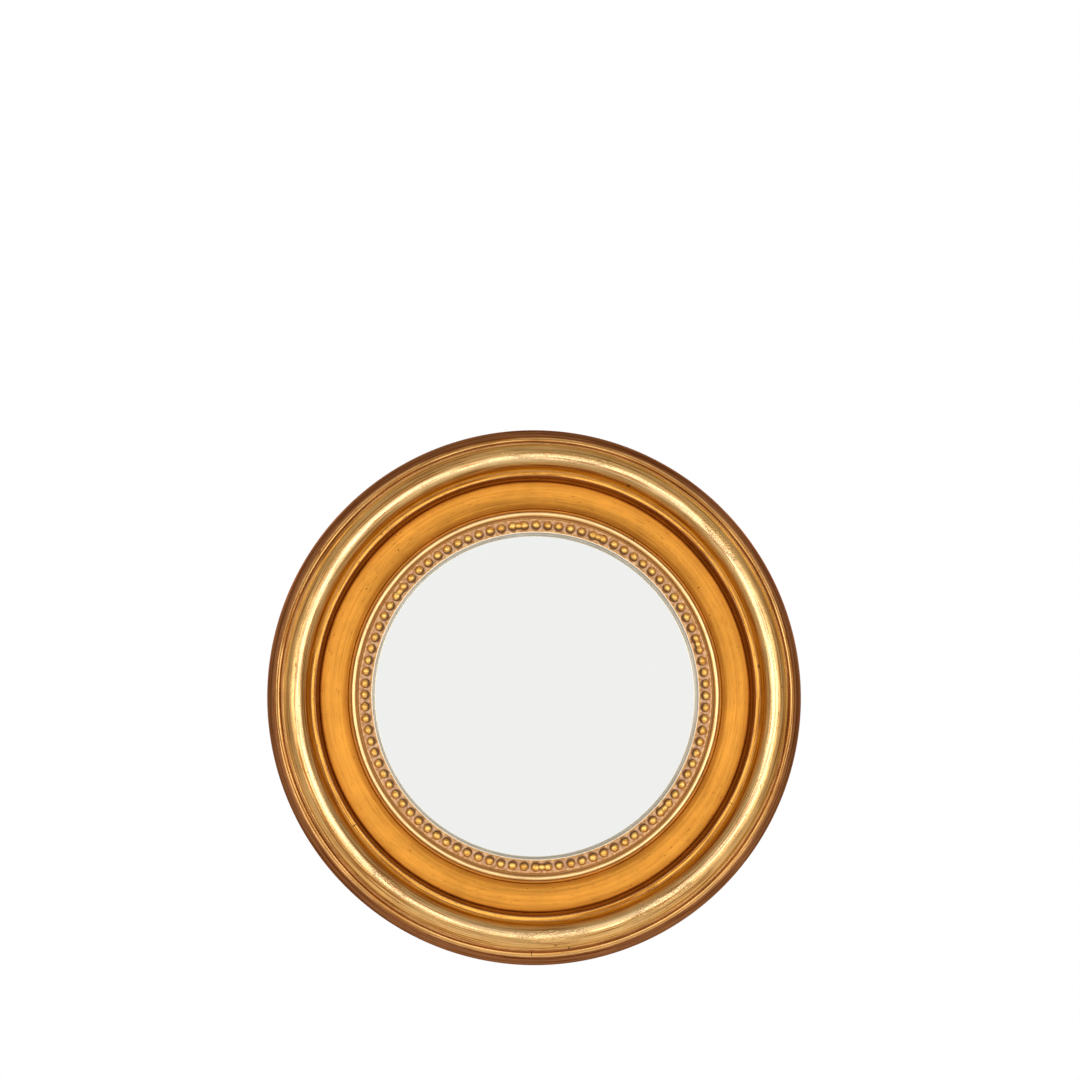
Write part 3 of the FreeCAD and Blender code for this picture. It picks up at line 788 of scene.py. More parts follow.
def front_or_back(bare_below):
    """Bare wood on what faces the wall and inside the rebates, gilding on the rest."""
    def pick(middle, normal):
        radius = math.hypot(middle.x, middle.z)
        inward = normal.x * middle.x + normal.z * middle.z < 0
        behind = normal.y > 0.5
        return 1 if behind or -middle.y < bare_below or (inward and -middle.y < tongue_face and
                                                         radius > sight_r + MM) else 0
    return pick


outer_ring = turned("gilded_outer_moulding", [
    (tongue_r + tongue_play, back),
    (tongue_r + tongue_play, tongue_face),
    (lip_foot_r, tongue_face),
    (lip_foot_r, seat + lip_foot_height),
    (lip_r0, seat + lip_height - lip_round / 2),
    (lip_r0 + lip_round * 0.35, seat + lip_height - lip_round * 0.1, lip_round * 0.12),
    (lip_r1 - lip_round * 0.35, seat + lip_height - lip_round * 0.1, lip_round * 0.1),
    (lip_r1, seat + lip_height - lip_round / 2, lip_round * 0.12),
    (sweep_end.x, sweep_end.y, -hollow_sag * 0.5),
    (torus_r1, crest - torus_round, torus_round * (1 - math.cos(math.radians(180 - SWEEP) / 2))),
    (torus_r1, seat + quirk_height),
    (fillet_r0, seat + quirk_height),
    (fillet_r0, seat + fillet_height - fillet_round),
    (fillet_r1, seat + fillet_height - fillet_round, fillet_round),
    (fillet_r1, ovolo_top),
    (outer_r, ovolo_top - ovolo_drop, ovolo_bulge),
    (outer_r, back + edge_chamfer),
    (outer_r - edge_chamfer, back)])
uneven(outer_ring, 0.16 * MM, 9 * MM, 1.0, lambda spot: -spot.y > outer_side)
paint(outer_ring, [burnished, bare], front_or_back(back + edge_chamfer / 2))
give(outer_ring, "burnished_gilding", "frame", "outer_moulding")

shoulder = scoop_edge_round * 1.4  # gesso and leaf soften the turned edge
edge_rise = shoulder * (1 - math.sqrt(0.5))
inner_ring = turned("gilded_scoop_ring", [
    (rebate_r, board_front),
    (rebate_r, seat - sight_thickness),
    (sight_r, seat - sight_thickness),
    (strip_r0 + 0.05 * MM, seat),
    (astragal_r0, seat),
    (astragal_r0, -scoop_low.y - astragal_round),
    (astragal_r1, -scoop_low.y - astragal_round, astragal_round),
    (astragal_r1, seat + groove_height),
    (astragal_r1 + astragal_groove, seat + groove_height),
    (scoop_r0, seat + scoop_inner_height),
    (scoop_r1 - shoulder, seat + scoop_outer_height, -scoop_sag),
    (scoop_r1, seat + scoop_outer_height - shoulder, edge_rise),
    (scoop_r1, tongue_face),
    (tongue_r, tongue_face),
    (tongue_r, back),
    (board_rebate_r, back),
    (board_rebate_r, board_front)])
uneven(inner_ring, 0.12 * MM, 8 * MM, 1.0, lambda spot: -spot.y > seat + 0.2 * MM)
paint(inner_ring, [matt, bare], front_or_back(back + edge_chamfer / 2))
give(inner_ring, "matt_gilding", "frame", "scoop_ring")


# ---- The bead strip

strip_ground_height = seat + strip_ground
pitch_angle = 2 * math.pi / bead_count


def bead_model():
    """One pressed bead: a dome with a small flare where it leaves the ground."""
    bpy.ops.object.select_all(action="DESELECT")
    middle = bead_crest - bead_radius
    bpy.ops.mesh.primitive_uv_sphere_add(segments=20, ring_count=12, radius=bead_radius,
                                         location=(bead_r, -middle, 0), rotation=(math.pi / 2, 0, 0))
    bead = bpy.context.object
    bead.name = "bead_model"
    bpy.ops.object.mode_set(mode="EDIT")
    bpy.ops.mesh.select_all(action="SELECT")
    bpy.ops.mesh.bisect(plane_co=(bead_r, -middle, 0), plane_no=(0, 1, 0), clear_outer=True)
    # The mould pressed the crown flatter than a half ball.
    bpy.ops.mesh.select_all(action="SELECT")
    bpy.ops.transform.resize(value=(1, bead_flatness, 1), center_override=(bead_r, -bead_crest, 0))
    choose(bead, "edges", lambda edge: edge.is_boundary)
    waist = bead_crest - bead_radius * bead_flatness
    down = waist - strip_ground_height - bead_flare
    bpy.ops.mesh.extrude_edges_move(TRANSFORM_OT_translate={"value": (0, down, 0)})
    bpy.ops.mesh.extrude_edges_move(TRANSFORM_OT_translate={"value": (0, 2 * bead_flare, 0)})
    bpy.ops.transform.resize(value=(1.12, 1.0, 1.12),
                             center_override=(bead_r, -strip_ground_height, 0))
    bpy.ops.object.mode_set(mode="OBJECT")
    settle(bead)
    bpy.ops.object.mode_set(mode="EDIT")
    return close_up(bead, 80)


def gilded_composition():
    """Pressed composition: pink-brown clay on the ground, leaf rubbed thin on the rims, and round the
    beads' feet a dark ring that is partly toner and partly painted shade."""
    made, tree = blank("gilded_composition")
    place, radius = turned_space(tree)[:2]
    blotch = add(tree, "TexNoise", {"Vector": place, "Scale": 1 / (1.8 * MM), "Detail": 4.0})
    patch = add(tree, "MapRange", {0: blotch, 1: 0.36, 2: 0.64})
    clay = add(tree, "Mix", {0: patch, MIX_A: colour("#B67A40"), MIX_B: colour("#F0BE8C")},
               data_type="RGBA")
    leaf = add(tree, "Mix", {0: patch, MIX_A: colour("#B67C36"), MIX_B: colour("#E2B478")},
               data_type="RGBA")
    off_line = add(tree, "Math", {0: radius, 1: bead_r}, operation="SUBTRACT")
    away = add(tree, "Math", {0: off_line}, operation="ABSOLUTE")
    on_rim = add(tree, "MapRange", {0: away, 1: 2.45 * MM, 2: 2.75 * MM})
    ground = add(tree, "Mix", {0: on_rim, MIX_A: clay, MIX_B: leaf}, data_type="RGBA")
    # How far a point lies from the nearest bead's middle.
    parts = add(tree, "SeparateXYZ", {0: place})
    swing = add(tree, "Math", {0: parts.outputs["Z"], 1: parts.outputs["X"]}, operation="ARCTAN2")
    shifted = add(tree, "Math", {0: swing, 1: pitch_angle / 2}, operation="ADD")
    within = add(tree, "Math", {0: shifted, 1: pitch_angle}, operation="FLOORED_MODULO")
    centred = add(tree, "Math", {0: within, 1: pitch_angle / 2}, operation="SUBTRACT")
    along_line = add(tree, "Math", {0: centred, 1: bead_r}, operation="MULTIPLY")
    # The dark ring round each foot is partly toner and partly painted shade, painted wider on the side
    # towards the glass.
    shade_lean = add(tree, "Math", {0: off_line, 1: 0.45 * MM}, operation="ADD")
    offset = add(tree, "CombineXYZ", {"X": shade_lean, "Y": along_line})
    distance = add(tree, "VectorMath", {0: offset}, operation="LENGTH")
    foot = add(tree, "MapRange", {0: distance, 1: 2.25 * MM, 2: 2.80 * MM, 3: 0.85, 4: 0.0},
               interpolation_type="SMOOTHSTEP")
    toned = add(tree, "Mix", {0: foot, MIX_A: ground, MIX_B: colour("#784818")}, data_type="RGBA")
    # Along the sight edge the leaf has worn off the gesso.
    worn = add(tree, "MapRange", {0: radius, 1: strip_r0 + 0.15 * MM, 2: strip_r0 + 0.50 * MM,
                                  3: 1.0, 4: 0.0})
    finish = add(tree, "Mix", {0: worn, MIX_A: toned, MIX_B: colour("#F0E2CC")}, data_type="RGBA")
    rim_metal = add(tree, "Math", {0: on_rim, 1: 0.55}, operation="MULTIPLY")
    grit = add(tree, "TexNoise", {"Vector": place, "Scale": 1 / (0.5 * MM), "Detail": 4.0})
    relief = add(tree, "Bump", {"Height": grit, "Distance": 0.07 * MM, "Strength": 0.6})
    shader = add(tree, "BsdfPrincipled", {"Base Color": finish, "Metallic": rim_metal,
                                          "Roughness": 0.44, "Normal": relief})
    add(tree, "OutputMaterial", {0: shader})
    return made


def rubbed_bead_leaf():
    """Leaf on the beads: rubbed bright on the crowns; the feet brown, partly toner and partly painted
    shade, most on the side towards the glass.
    """
    made, tree = blank("rubbed_bead_leaf")
    place, radius, _, height = turned_space(tree)
    blotch = add(tree, "TexNoise", {"Vector": place, "Scale": 1 / (1.5 * MM), "Detail": 4.0})
    lift = add(tree, "MapRange", {0: blotch, 1: LOW, 2: HIGH, 3: -0.20 * MM, 4: 0.20 * MM})
    # Y falls as a point stands higher off the wall.
    raised = add(tree, "Math", {0: lift, 1: height}, operation="SUBTRACT")
    # The bright crown reaches further down the beads' outer sides; the sides towards the glass stay
    # darker as painted shade.
    outward = add(tree, "Math", {0: radius, 1: bead_r}, operation="SUBTRACT")
    reached = add(tree, "Math", {0: outward, 1: 0.60, 2: raised}, operation="MULTIPLY_ADD")
    crown = add(tree, "MapRange", {0: reached, 1: strip_ground_height + 0.4 * MM,
                                   2: strip_ground_height + 1.2 * MM}, interpolation_type="SMOOTHSTEP")
    # Painted shade: each bead's leaf darkens on its side towards the glass.
    rubbed_and_shaded_side = add(tree, "MapRange", {0: radius, 1: bead_r - 2.0 * MM, 2: bead_r - 0.2 * MM,
                                         3: 0.20, 4: 1.0}, interpolation_type="SMOOTHSTEP")
    crown = add(tree, "Math", {0: crown, 1: rubbed_and_shaded_side}, operation="MULTIPLY")
    patch = add(tree, "MapRange", {0: blotch, 1: 0.36, 2: 0.64})
    gold = add(tree, "Mix", {0: patch, MIX_A: colour("#D4943C"), MIX_B: colour("#F6C870")},
               data_type="RGBA")
    finish = add(tree, "Mix", {0: crown, MIX_A: colour("#80501A"), MIX_B: gold}, data_type="RGBA")
    metallic = add(tree, "MapRange", {0: crown, 3: 0.4, 4: 0.72})
    rough = add(tree, "MapRange", {0: crown, 3: 0.50, 4: 0.34})
    grit = add(tree, "TexNoise", {"Vector": place, "Scale": 1 / (0.6 * MM), "Detail": 3.0})
    relief = add(tree, "Bump", {"Height": grit, "Distance": 0.10 * MM, "Strength": 0.6})
    shader = add(tree, "BsdfPrincipled", {"Base Color": finish, "Metallic": metallic,
                                          "Roughness": rough, "Normal": relief})
    add(tree, "OutputMaterial", {0: shader})
    return made


strip_piece = turned("gilded_bead_strip", [
    (strip_r1, seat),
    (strip_r0, seat),
    (strip_r0, seat + strip_rim - rim_round),
    (strip_r0 + inner_rim_width, seat + strip_rim - rim_round, rim_round),
    (strip_r0 + inner_rim_width, strip_ground_height),
    (strip_r1 - outer_rim_width, strip_ground_height),
    (strip_r1 - outer_rim_width, seat + strip_rim - rim_round),
    (strip_r1, seat + strip_rim - rim_round, rim_round)][::-1], soft=0.08 * MM)
paint(strip_piece, [gilded_composition()])
BRIDGED = (18.5, 69.0, 95.5, 141.0, 270.5, 317.0)   # degrees: pairs of beads that run together
dice = random.Random(11)
bead = bead_model()
paint(bead, [rubbed_bead_leaf()])
row = [strip_piece]
step_angle = 360 / bead_count
bead_foot = Vector((bead_r, -strip_ground_height, 0))
for number in range(bead_count):
    slide = Matrix.Translation((dice.uniform(-0.12, 0.12) * MM, 0, 0))
    size = dice.uniform(0.95, 1.04)
    rise = dice.uniform(0.88, 1.0)
    lean = Matrix.Rotation(dice.uniform(-0.05, 0.05), 4, "Z")
    shape = (Matrix.Translation(bead_foot) @ lean @ Matrix.Diagonal((size, rise, size, 1))
             @ Matrix.Translation(-bead_foot))
    swing = about_axis(number * step_angle + dice.uniform(-0.14, 0.14))
    row.append(copied(bead, swing @ slide @ shape, f"bead_{number}"))
for number, angle in enumerate(BRIDGED):
    between = (math.floor(angle / step_angle) + 0.5) * step_angle
    shape = (Matrix.Translation(bead_foot) @ Matrix.Diagonal((0.84, 0.90, 0.98, 1))
             @ Matrix.Translation(-bead_foot))
    row.append(copied(bead, about_axis(between) @ shape, f"bridge_{number}"))
remove(bead)
strip_piece = joined(row)
give(strip_piece, "gilded_composition", "frame", "bead_strip")


# ---- The glass

glass_ball = (glass_r ** 2 + glass_bow ** 2) / (2 * glass_bow)
glass_centre = glass_apex - glass_ball
inner_ball = glass_ball - glass_thickness


def ball_height(ball, radius):
    """Height off the wall of one of the glass's two spheres, at a radius from the axis."""
    return glass_centre + math.sqrt(ball ** 2 - radius ** 2)


def ball_line(ball, radii):
    """Points of (radius, height) along a sphere."""
    return [(radius, ball_height(ball, radius)) for radius in radii]


cap_radii = [glass_r * number / CAP_STEPS for number in range(CAP_STEPS + 1)]
glass = turned("silvered_convex_glass",
               ball_line(glass_ball, cap_radii) + ball_line(inner_ball, cap_radii[::-1]),
               closed=False, steps=PLAIN_STEPS, soft=0.25 * MM)


def glass_face(middle, normal):
    """Mirror on the front and the edge, paint behind."""
    return 1 if normal.y > 0.5 else 0


paint(glass, [silvered_glass(), backing_paint()], glass_face)
give(glass, "silvered_glass", "frame", "convex_glass")


# ---- Behind the glass

board = turned("hardboard_back", [(0, board_front), (board_r, board_front), (board_r, back), (0, back)],
               closed=False, steps=PLAIN_STEPS, soft=0.3 * MM)
paint(board, [hardboard()])
give(board, "hardboard", "frame", "backing_board")

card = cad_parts["packing_ring"]
card.data.materials.clear()
card.data.materials.append(grey_card())


# ---- Screws and turn buttons

def slot_grime():
    """Old polish and dust packed in a screw's slot: dark, dull and crumbly."""
    made, tree = blank("slot_grime")
    place = add(tree, "TexCoord").outputs["Object"]
    crumb = add(tree, "TexNoise", {"Vector": place, "Scale": 1 / (0.3 * MM), "Detail": 3.0})
    dust = add(tree, "Mix", {0: crumb, MIX_A: colour("#211C16"), MIX_B: colour("#4A4238")},
               data_type="RGBA")
    relief = add(tree, "Bump", {"Height": crumb, "Distance": 0.08 * MM, "Strength": 0.7})
    shader = add(tree, "BsdfPrincipled", {"Base Color": dust, "Roughness": 0.9, "Normal": relief})
    add(tree, "OutputMaterial", {0: shader})
    return made


grime = slot_grime()


def screw_model(name, node_top, head_radius, plating):
    """A domed slotted screw on the Y axis. node_top is the height off the wall of its crown."""
    edge = screw_head_height / 3
    under = node_top + screw_head_height
    piece = turned(name, [
        (0, node_top),
        (head_radius, under - edge, -(screw_head_height - edge) * 0.42),
        (head_radius, under),
        (screw_shank, under),
        (screw_shank, under + screw_reach - 2 * MM),
        (0, under + screw_reach)], closed=False, steps=40, soft=0.08 * MM)
    bpy.ops.object.select_all(action="DESELECT")
    bpy.ops.mesh.primitive_cube_add(size=1, location=(0, -node_top, 0),
                                    scale=(head_radius * 3, screw_head_height * 1.2, slot_width))
    cutter = bpy.context.object
    bpy.ops.object.mode_set(mode="EDIT")
    bpy.ops.mesh.select_all(action="SELECT")
    bpy.ops.mesh.bevel(offset=0.05 * MM, segments=1)
    bpy.ops.object.mode_set(mode="OBJECT")
    finish_with(piece, "BOOLEAN", object=cutter, operation="DIFFERENCE", solver="EXACT")
    remove(cutter)
    bpy.ops.object.mode_set(mode="EDIT")
    close_up(piece, 35)
    in_slot = slot_width * 0.501     # the slot's walls and floor lie just within this width
    paint(piece, [plating, grime], lambda middle, normal: 1 if abs(middle.z) < in_slot else 0)
    return piece


def place_screws(model, name, places):
    """Copies of a screw at (across, up, slot angle), as one piece."""
    copies = []
    for number, (across, up, slot_angle) in enumerate(places):
        matrix = Matrix.Translation((across, 0, up)) @ about_axis(slot_angle)
        copies.append(copied(model, matrix, f"{name}_{number}"))
    remove(model)
    piece = joined(copies)
    piece.name = name
    piece.data.name = name
    return piece


zinc = plated_steel("zinc_plated_steel", "#C9CCCB", "#8E9290", 0.34, 5 * MM)
zinc_screw = plated_steel("zinc_plated_screw", "#D2D3CF", "#9A9B96", 0.28, 2 * MM)
brass_strap = plated_steel("brass_plated_strap", "#E3BE6C", "#A67E3A", 0.30, 4 * MM)
brass_wire = plated_steel("brass_plated_wire", "#E8C678", "#B08A46", 0.24, 3 * MM)
brass_screw = plated_steel("brass_plated_screw", "#DDB866", "#A07A3C", 0.30, 2 * MM)

corners = {"top_right": 45, "top_left": 135, "bottom_left": 225, "bottom_right": 315}
slot_angles = {"top_right": 110, "top_left": 65, "bottom_left": 20, "bottom_right": 150}
_, button_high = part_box("turn_button_screws")
button_centre = (button_high.x - button_screw_head) * math.sqrt(2)
button_top = -button_high.y
button_places = [(on_ring(button_centre, 0, angle).x, on_ring(button_centre, 0, angle).z,
                  slot_angles[corner]) for corner, angle in corners.items()]
button_screws = place_screws(screw_model("screw_model", button_top, button_screw_head, zinc_screw),
                             "slotted_button_screws", button_places)
give(button_screws, "zinc_plated_screws", "frame", "turn_button_screws")


def button_model():
    """A stamped steel tongue at angle 0: wide at its pivot, narrower where it holds the board."""
    _, node_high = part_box("turn_button_top_right")
    wallward = -node_high.y
    lean = math.asin((button_big - button_small) / button_reach)
    big_out = button_big * math.cos(lean)
    small_out = button_small * math.cos(lean)
    pivot = button_centre
    big_in = pivot - button_big * math.sin(lean)
    small_in = pivot - button_reach - button_small * math.sin(lean)
    big_rise = button_big * (1 + math.sin(lean))
    small_rise = button_small * (1 - math.sin(lean))
    outline = along([(big_in, -big_out), (big_in, big_out, -big_rise), (small_in, small_out),
                     (small_in, -small_out, -small_rise), (big_in, -big_out)])[:-1]
    piece = start("turn_button_model")
    trace([Vector((point.x, -wallward - button_thickness, point.y)) for point in outline])
    bpy.ops.mesh.select_all(action="SELECT")
    bpy.ops.mesh.edge_face_add()
    bpy.ops.mesh.extrude_region_move(TRANSFORM_OT_translate={"value": (0, button_thickness, 0)})
    # The press rounds the wallward edge and leaves the other one crisp.
    bpy.ops.mesh.bevel(offset=0.28 * MM, segments=3)
    close_up(piece, 40)
    return piece


model = button_model()
for corner, angle in corners.items():
    button = copied(model, about_axis(angle), "steel_turn_button_" + corner)
    button.data.name = button.name
    paint(button, [zinc])
    give(button, "zinc_plated_steel", "button_" + corner, "turn_button_" + corner)
remove(model)


# ---- The hanger

eye = Vector((0, (ring_low.y + ring_high.y) / 2, ring_low.z + wire / 2))
strap_half = strap_high.x
TIP_SWINGS = (12, 30, 50, 70, 90)   # degrees round the strap's rounded tip
EYE_STEPS = 22                      # segments round the fold


def strap_tip(height, swings):
    """Points of (height, up, half width) round the tip of one of the strap's two leaves."""
    return [(height, strap_low.z + strap_half * (1 - math.cos(math.radians(swing))),
             strap_half * math.sin(math.radians(swing))) for swing in swings]


def strap_model():
    """A brass-plated strip folded round the ring's bar, its two leaves flat on each other."""
    bend = wire / 2 + eye_play + strap_thickness / 2
    inner_height = back - strap_thickness / 2
    outer_height = back - 1.5 * strap_thickness
    eye_height = -eye.y
    path = strap_tip(inner_height, TIP_SWINGS)
    path.append((inner_height, eye.z - 4 * MM, strap_half))
    end_swing = -180 + math.degrees(math.asin((outer_height - eye_height) * -1 / bend))
    for number in range(EYE_STEPS + 1):
        swing = math.radians(90 + (end_swing - 90) * number / EYE_STEPS)
        path.append((eye_height + bend * math.sin(swing), eye.z + bend * math.cos(swing), strap_half))
    foot = path[-1]
    path.append((outer_height, foot[1] - 0.7 * MM, strap_half))
    path.append((outer_height, eye.z - 5 * MM, strap_half))
    path += strap_tip(outer_height, TIP_SWINGS[::-1])
    piece = start("folded_strap_hanger")
    height, up, half = path[0]
    bpy.ops.transform.translate(value=(-half, -height, up))
    bpy.ops.mesh.extrude_vertices_move(TRANSFORM_OT_translate={"value": (2 * half, 0, 0)})
    bpy.ops.mesh.select_all(action="SELECT")
    for before, after in zip(path, path[1:]):
        bpy.ops.mesh.extrude_edges_move(TRANSFORM_OT_translate={
            "value": (0, before[0] - after[0], after[1] - before[1])})
        bpy.ops.transform.resize(value=(after[2] / before[2], 1, 1),
                                 center_override=(0, -after[0], after[1]))
    bpy.ops.mesh.select_all(action="SELECT")
    bpy.ops.mesh.normals_make_consistent(inside=False)
    bpy.ops.object.mode_set(mode="OBJECT")
    finish_with(piece, "SOLIDIFY", thickness=strap_thickness * 0.98, offset=0.0, use_even_offset=True)
    finish_with(piece, "BEVEL", width=0.10 * MM, segments=2, limit_method="ANGLE",
                angle_limit=math.radians(50))
    bpy.ops.object.mode_set(mode="EDIT")
    return close_up(piece, 40)


strap = strap_model()
paint(strap, [brass_strap])
give(strap, "brass_plated_strap", "frame", "hanger_strap")

hanger_low, hanger_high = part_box("hanger_screws")
hanger_top = -hanger_high.y
upper = hanger_high.z - hanger_screw_head
lower = hanger_low.z + hanger_screw_head
hanger_screws = place_screws(screw_model("screw_model", hanger_top, hanger_screw_head, brass_screw),
                             "slotted_hanger_screws", [(0, upper, 35), (0, lower, 115)])
give(hanger_screws, "brass_plated_screws", "frame", "hanger_screws")


def wire_ring():
    """A D of round wire, drawn along its bar, corners, arms and bow."""
    half = ring_high.x - wire / 2
    corner = 3.4 * MM
    arms = ring_high.z - wire / 2 - half - corner - eye.z
    gap = 0.15 * MM
    bpy.ops.object.select_all(action="DESELECT")
    bpy.ops.mesh.primitive_circle_add(vertices=24, radius=wire / 2, location=eye + Vector((gap, 0, 0)),
                                      rotation=(0, math.pi / 2, 0), fill_type="NGON")
    piece = bpy.context.object
    piece.name = "hanger_wire_ring"
    settle(piece)
    bpy.ops.object.mode_set(mode="EDIT")
    bpy.ops.mesh.select_mode(type="FACE")
    bpy.ops.mesh.select_all(action="SELECT")
    bpy.ops.mesh.extrude_region_move(TRANSFORM_OT_translate={"value": (half - corner - gap, 0, 0)})
    low_corner = eye + Vector((half - corner, 0, corner))
    bpy.ops.mesh.spin(steps=10, angle=math.pi / 2, center=low_corner, axis=(0, 1, 0))
    bpy.ops.mesh.extrude_region_move(TRANSFORM_OT_translate={"value": (0, 0, arms)})
    bpy.ops.mesh.spin(steps=48, angle=math.pi, center=eye + Vector((0, 0, corner + arms)),
                      axis=(0, 1, 0))
    bpy.ops.mesh.extrude_region_move(TRANSFORM_OT_translate={"value": (0, 0, -arms)})
    bpy.ops.mesh.spin(steps=10, angle=math.pi / 2, center=eye + Vector((corner - half, 0, corner)),
                      axis=(0, 1, 0))
    bpy.ops.mesh.extrude_region_move(TRANSFORM_OT_translate={"value": (half - corner - gap, 0, 0)})
    return close_up(piece, 50)


ring = wire_ring()
paint(ring, [brass_wire])
give(ring, "brass_plated_wire", "d_ring", "hanger_ring")


# ---- The wall pads

felt = wool_felt()
FRAY = 0.15 * MM                 # room left at the edge for loose fibres
NAP = 0.12 * MM                  # and on the face


def draw_in(centre, shares):
    """Draws an open edge in towards a point, by these shares one after another, and closes it."""
    for share in shares:
        bpy.ops.mesh.extrude_edges_move(TRANSFORM_OT_translate={"value": (0, 0, 0)})
        bpy.ops.transform.resize(value=(share, 1, share), center_override=centre)
    bpy.ops.mesh.merge(type="CENTER")


def felt_pad(side, node):
    """A punched disc of felt, its edge slightly frayed and its face pressed soft."""
    low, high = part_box(node)
    radius = (high.x - low.x) / 2 - FRAY
    thickness = high.y - low.y - NAP
    middle = (low + high) / 2
    bpy.ops.object.select_all(action="DESELECT")
    bpy.ops.mesh.primitive_circle_add(vertices=72, radius=radius, fill_type="NOTHING",
                                      location=(middle.x, low.y, middle.z),
                                      rotation=(math.pi / 2, 0, 0))
    pad = bpy.context.object
    pad.name = "felt_wall_pad_" + side
    settle(pad)
    bpy.ops.object.mode_set(mode="EDIT")
    bpy.ops.mesh.select_all(action="SELECT")
    layers = 8
    for number in range(layers):
        bpy.ops.mesh.extrude_edges_move(TRANSFORM_OT_translate={"value": (0, thickness / layers, 0)})
        pinch = 0.90 if number == layers - 1 else 1.0 + 0.006 * math.sin(number * 1.9)
        bpy.ops.transform.resize(value=(pinch, 1, pinch), center_override=middle)
    draw_in(Vector((middle.x, low.y + thickness, middle.z)), (0.82, 0.78, 0.72, 0.62, 0.45))
    choose(pad, "edges", lambda edge: edge.is_boundary)
    draw_in(Vector((middle.x, low.y, middle.z)), (0.8, 0.7, 0.5))
    close_up(pad, 70)
    uneven(pad, 0.22 * MM, 1.2 * MM)
    paint(pad, [felt])
    give(pad, "felt", "frame", node)


felt_pad("left", "wall_pad_left")
felt_pad("right", "wall_pad_right")


# ---- Camera, lamps, floor and world

CAMERA_AZIMUTH = -3.2
CAMERA_ELEVATION = -2.2
CAMERA_DISTANCE = 1.55
AIM_RIGHT = 3.3 * MM             # the mirror's middle stands left of and below the picture's
AIM_UP = 83.0 * MM
LENS = 97.5
SENSOR = 36


def stand(azimuth, elevation, distance):
    """A place round the mirror. Azimuth 0 looks along +Y, and 90 along -X."""
    turn = math.radians(azimuth)
    rise = math.radians(elevation)
    return Vector((math.sin(turn) * math.cos(rise), -math.cos(turn) * math.cos(rise),
                   math.sin(rise))) * distance


def facing(place, target):
    """The turn of a camera or lamp that looks at a target, upright."""
    return (target - place).to_track_quat("-Z", "Y").to_euler()


eye_place = stand(CAMERA_AZIMUTH, CAMERA_ELEVATION, CAMERA_DISTANCE)
level = facing(eye_place, CENTRE).to_matrix()
aim = CENTRE + level @ Vector((AIM_RIGHT, AIM_UP, 0))
bpy.ops.object.camera_add(location=eye_place, rotation=facing(eye_place, aim))
camera = bpy.context.object
camera.data.lens = LENS
camera.data.sensor_width = SENSOR
bpy.context.scene.camera = camera
bpy.context.scene.view_settings.view_transform = "Standard"

not_in_glass = bpy.data.collections.new("softboxes_miss_the_glass")
not_in_glass.objects.link(glass)
not_in_glass.collection_objects[0].light_linking.link_state = "EXCLUDE"


def softbox(name, azimuth, elevation, distance, width, height, radiance, misses_glass):
    """A rectangular softbox that faces the mirror."""
    place = stand(azimuth, elevation, distance)
    bpy.ops.object.light_add(type="AREA", location=place, rotation=facing(place, CENTRE))
    lamp = bpy.context.object
    lamp.name = name
    lamp.data.shape = "RECTANGLE"
    lamp.data.size = width
    lamp.data.size_y = height
    lamp.data.energy = radiance * math.pi * width * height
    lamp.visible_camera = False
    if misses_glass:
        lamp.light_linking.receiver_collection = not_in_glass


for side, name in ((-1, "left"), (1, "right")):
    softbox("front_softbox_" + name, azimuth=CAMERA_AZIMUTH + side * 24.5, elevation=CAMERA_ELEVATION,
            distance=1.4, width=0.86, height=0.66, radiance=2.4, misses_glass=True)
    softbox("rear_softbox_" + name, azimuth=180 + side * 38, elevation=20, distance=1.5, width=0.9,
            height=0.9, radiance=2.2, misses_glass=False)


FLOOR_GLOW = 0.55                # fills what the lamps leave: white, but the shadow stays


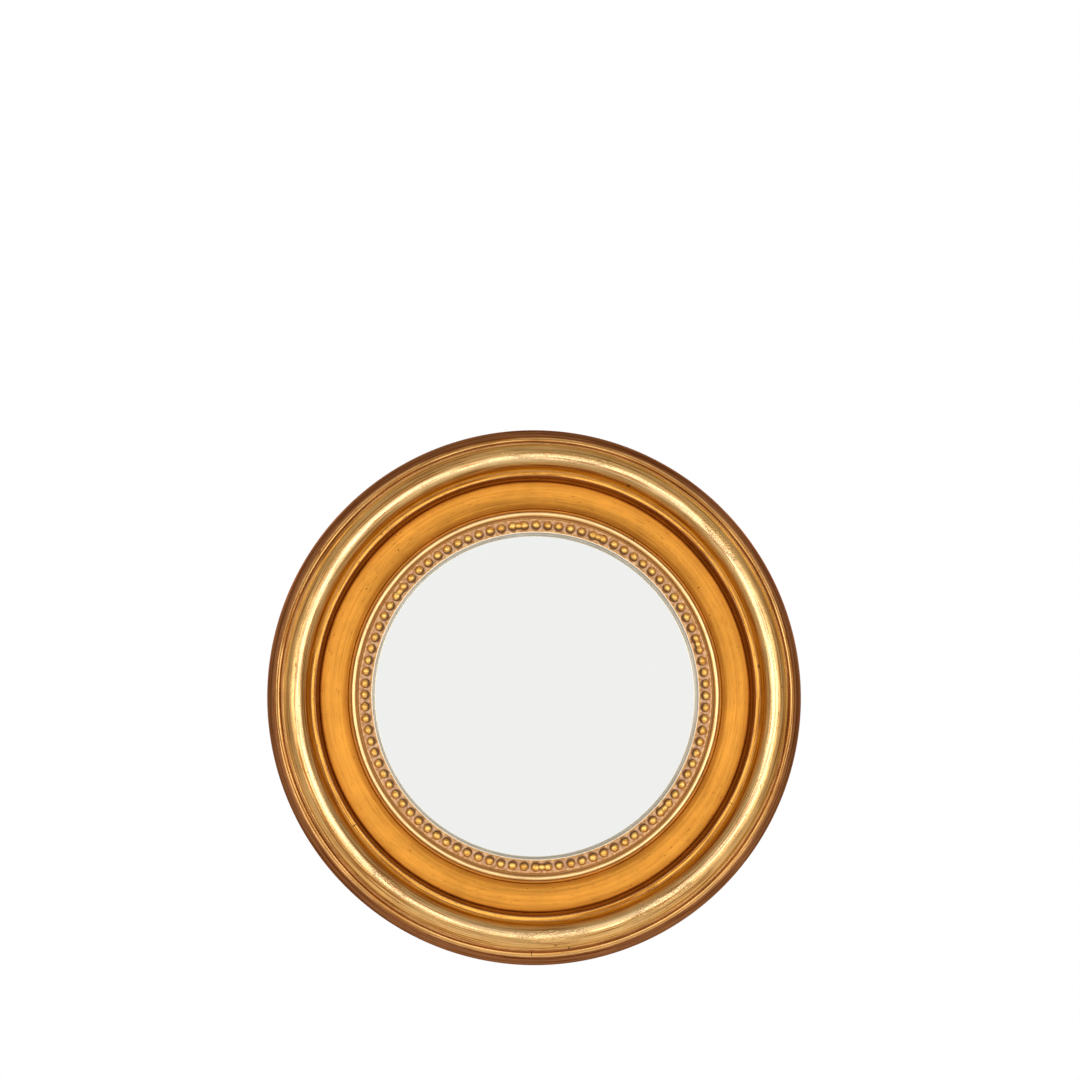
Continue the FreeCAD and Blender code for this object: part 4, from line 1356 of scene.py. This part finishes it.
def stage_material(name, tone, inner, outer):
    """A pale surface that metal and glass mirror as white, and the camera sees as nearly white. From
    the inner to the outer distance it turns plain white to the camera and clear to mirrored rays, so
    that its edge doesn't show."""
    made, tree = blank(name)
    place = add(tree, "TexCoord").outputs["Object"]
    radius = add(tree, "VectorMath", {0: place}, operation="LENGTH")
    rays = add(tree, "LightPath")
    mirrored = add(tree, "Math", {0: rays.outputs["Is Glossy Ray"],
                                  1: rays.outputs["Is Transmission Ray"]}, operation="MAXIMUM")
    mottle = add(tree, "TexNoise", {"Vector": place, "Scale": 4.0, "Detail": 3.0})
    cloth = add(tree, "Mix", {0: mottle, MIX_A: colour(tone), MIX_B: colour("#F4F3F0")},
                data_type="RGBA")
    matte = add(tree, "BsdfDiffuse", {"Color": cloth})
    away = add(tree, "MapRange", {0: radius, 1: inner, 2: outer}, interpolation_type="SMOOTHSTEP")
    filled = add(tree, "MapRange", {0: away, 3: FLOOR_GLOW, 4: 1.0})
    glow = add(tree, "Emission", {"Color": (1, 1, 1, 1), "Strength": filled})
    shown_glow = add(tree, "MixShader", {0: rays.outputs["Is Camera Ray"], 2: glow})
    ground = add(tree, "MixShader", {0: away, 1: matte})
    lit = add(tree, "AddShader", {0: ground, 1: shown_glow})
    white = add(tree, "Emission", {"Color": (1, 1, 1, 1), "Strength": 1.0})
    clear = add(tree, "BsdfTransparent")
    mirror_image = add(tree, "MixShader", {0: away, 1: white, 2: clear})
    shown = add(tree, "MixShader", {0: mirrored, 1: lit, 2: mirror_image})
    add(tree, "OutputMaterial", {0: shown})
    return made


FLOOR_DROP = 0.30                # the floor lies this far below the mirror's middle
FLOOR_RADIUS = 0.85
bpy.ops.object.select_all(action="DESELECT")
bpy.ops.mesh.primitive_circle_add(vertices=96, radius=FLOOR_RADIUS, fill_type="NGON",
                                  location=(0, 0, -FLOOR_DROP))
floor = bpy.context.object
floor.name = "studio_floor"
floor.data.materials.append(stage_material("pale_floor", "#E9E7E2", inner=0.35, outer=0.80))

AMBIENT = 0.55
world = bpy.data.worlds.new("white_studio")
bpy.context.scene.world = world
world.use_nodes = True
world.node_tree.nodes.clear()
world.cycles.sampling_method = "NONE"
sky = world.node_tree
rays = add(sky, "LightPath")
seen = add(sky, "Math", {0: rays.outputs["Is Camera Ray"], 1: rays.outputs["Is Glossy Ray"]},
           operation="MAXIMUM")
seen_all = add(sky, "Math", {0: seen, 1: rays.outputs["Is Transmission Ray"]}, operation="MAXIMUM")
strength = add(sky, "MapRange", {0: seen_all, 3: AMBIENT, 4: 1.0})
# What mirrors is white in front of the mirror and behind it, and softly grey at the sides, above
# and below, so that the mouldings' flanks have something to show. Y is -1 straight in front.
ahead = add(sky, "SeparateXYZ", {0: add(sky, "TexCoord").outputs["Generated"]}).outputs["Y"]
off_front = add(sky, "MapRange", {0: ahead, 1: -0.81, 2: -0.60}, interpolation_type="SMOOTHSTEP")
off_back = add(sky, "MapRange", {0: ahead, 1: 0.30, 2: 0.80, 3: 1.0, 4: 0.0},
               interpolation_type="SMOOTHSTEP")
round_the_side = add(sky, "Math", {0: off_front, 1: off_back}, operation="MULTIPLY")
shade = add(sky, "Math", {0: round_the_side, 1: rays.outputs["Is Glossy Ray"]}, operation="MULTIPLY")
cloth = add(sky, "Mix", {0: shade, MIX_A: (1, 1, 1, 1), MIX_B: colour("#C4C1BB")}, data_type="RGBA")
white = add(sky, "Background", {"Color": cloth, "Strength": strength})
add(sky, "OutputWorld", {0: white})
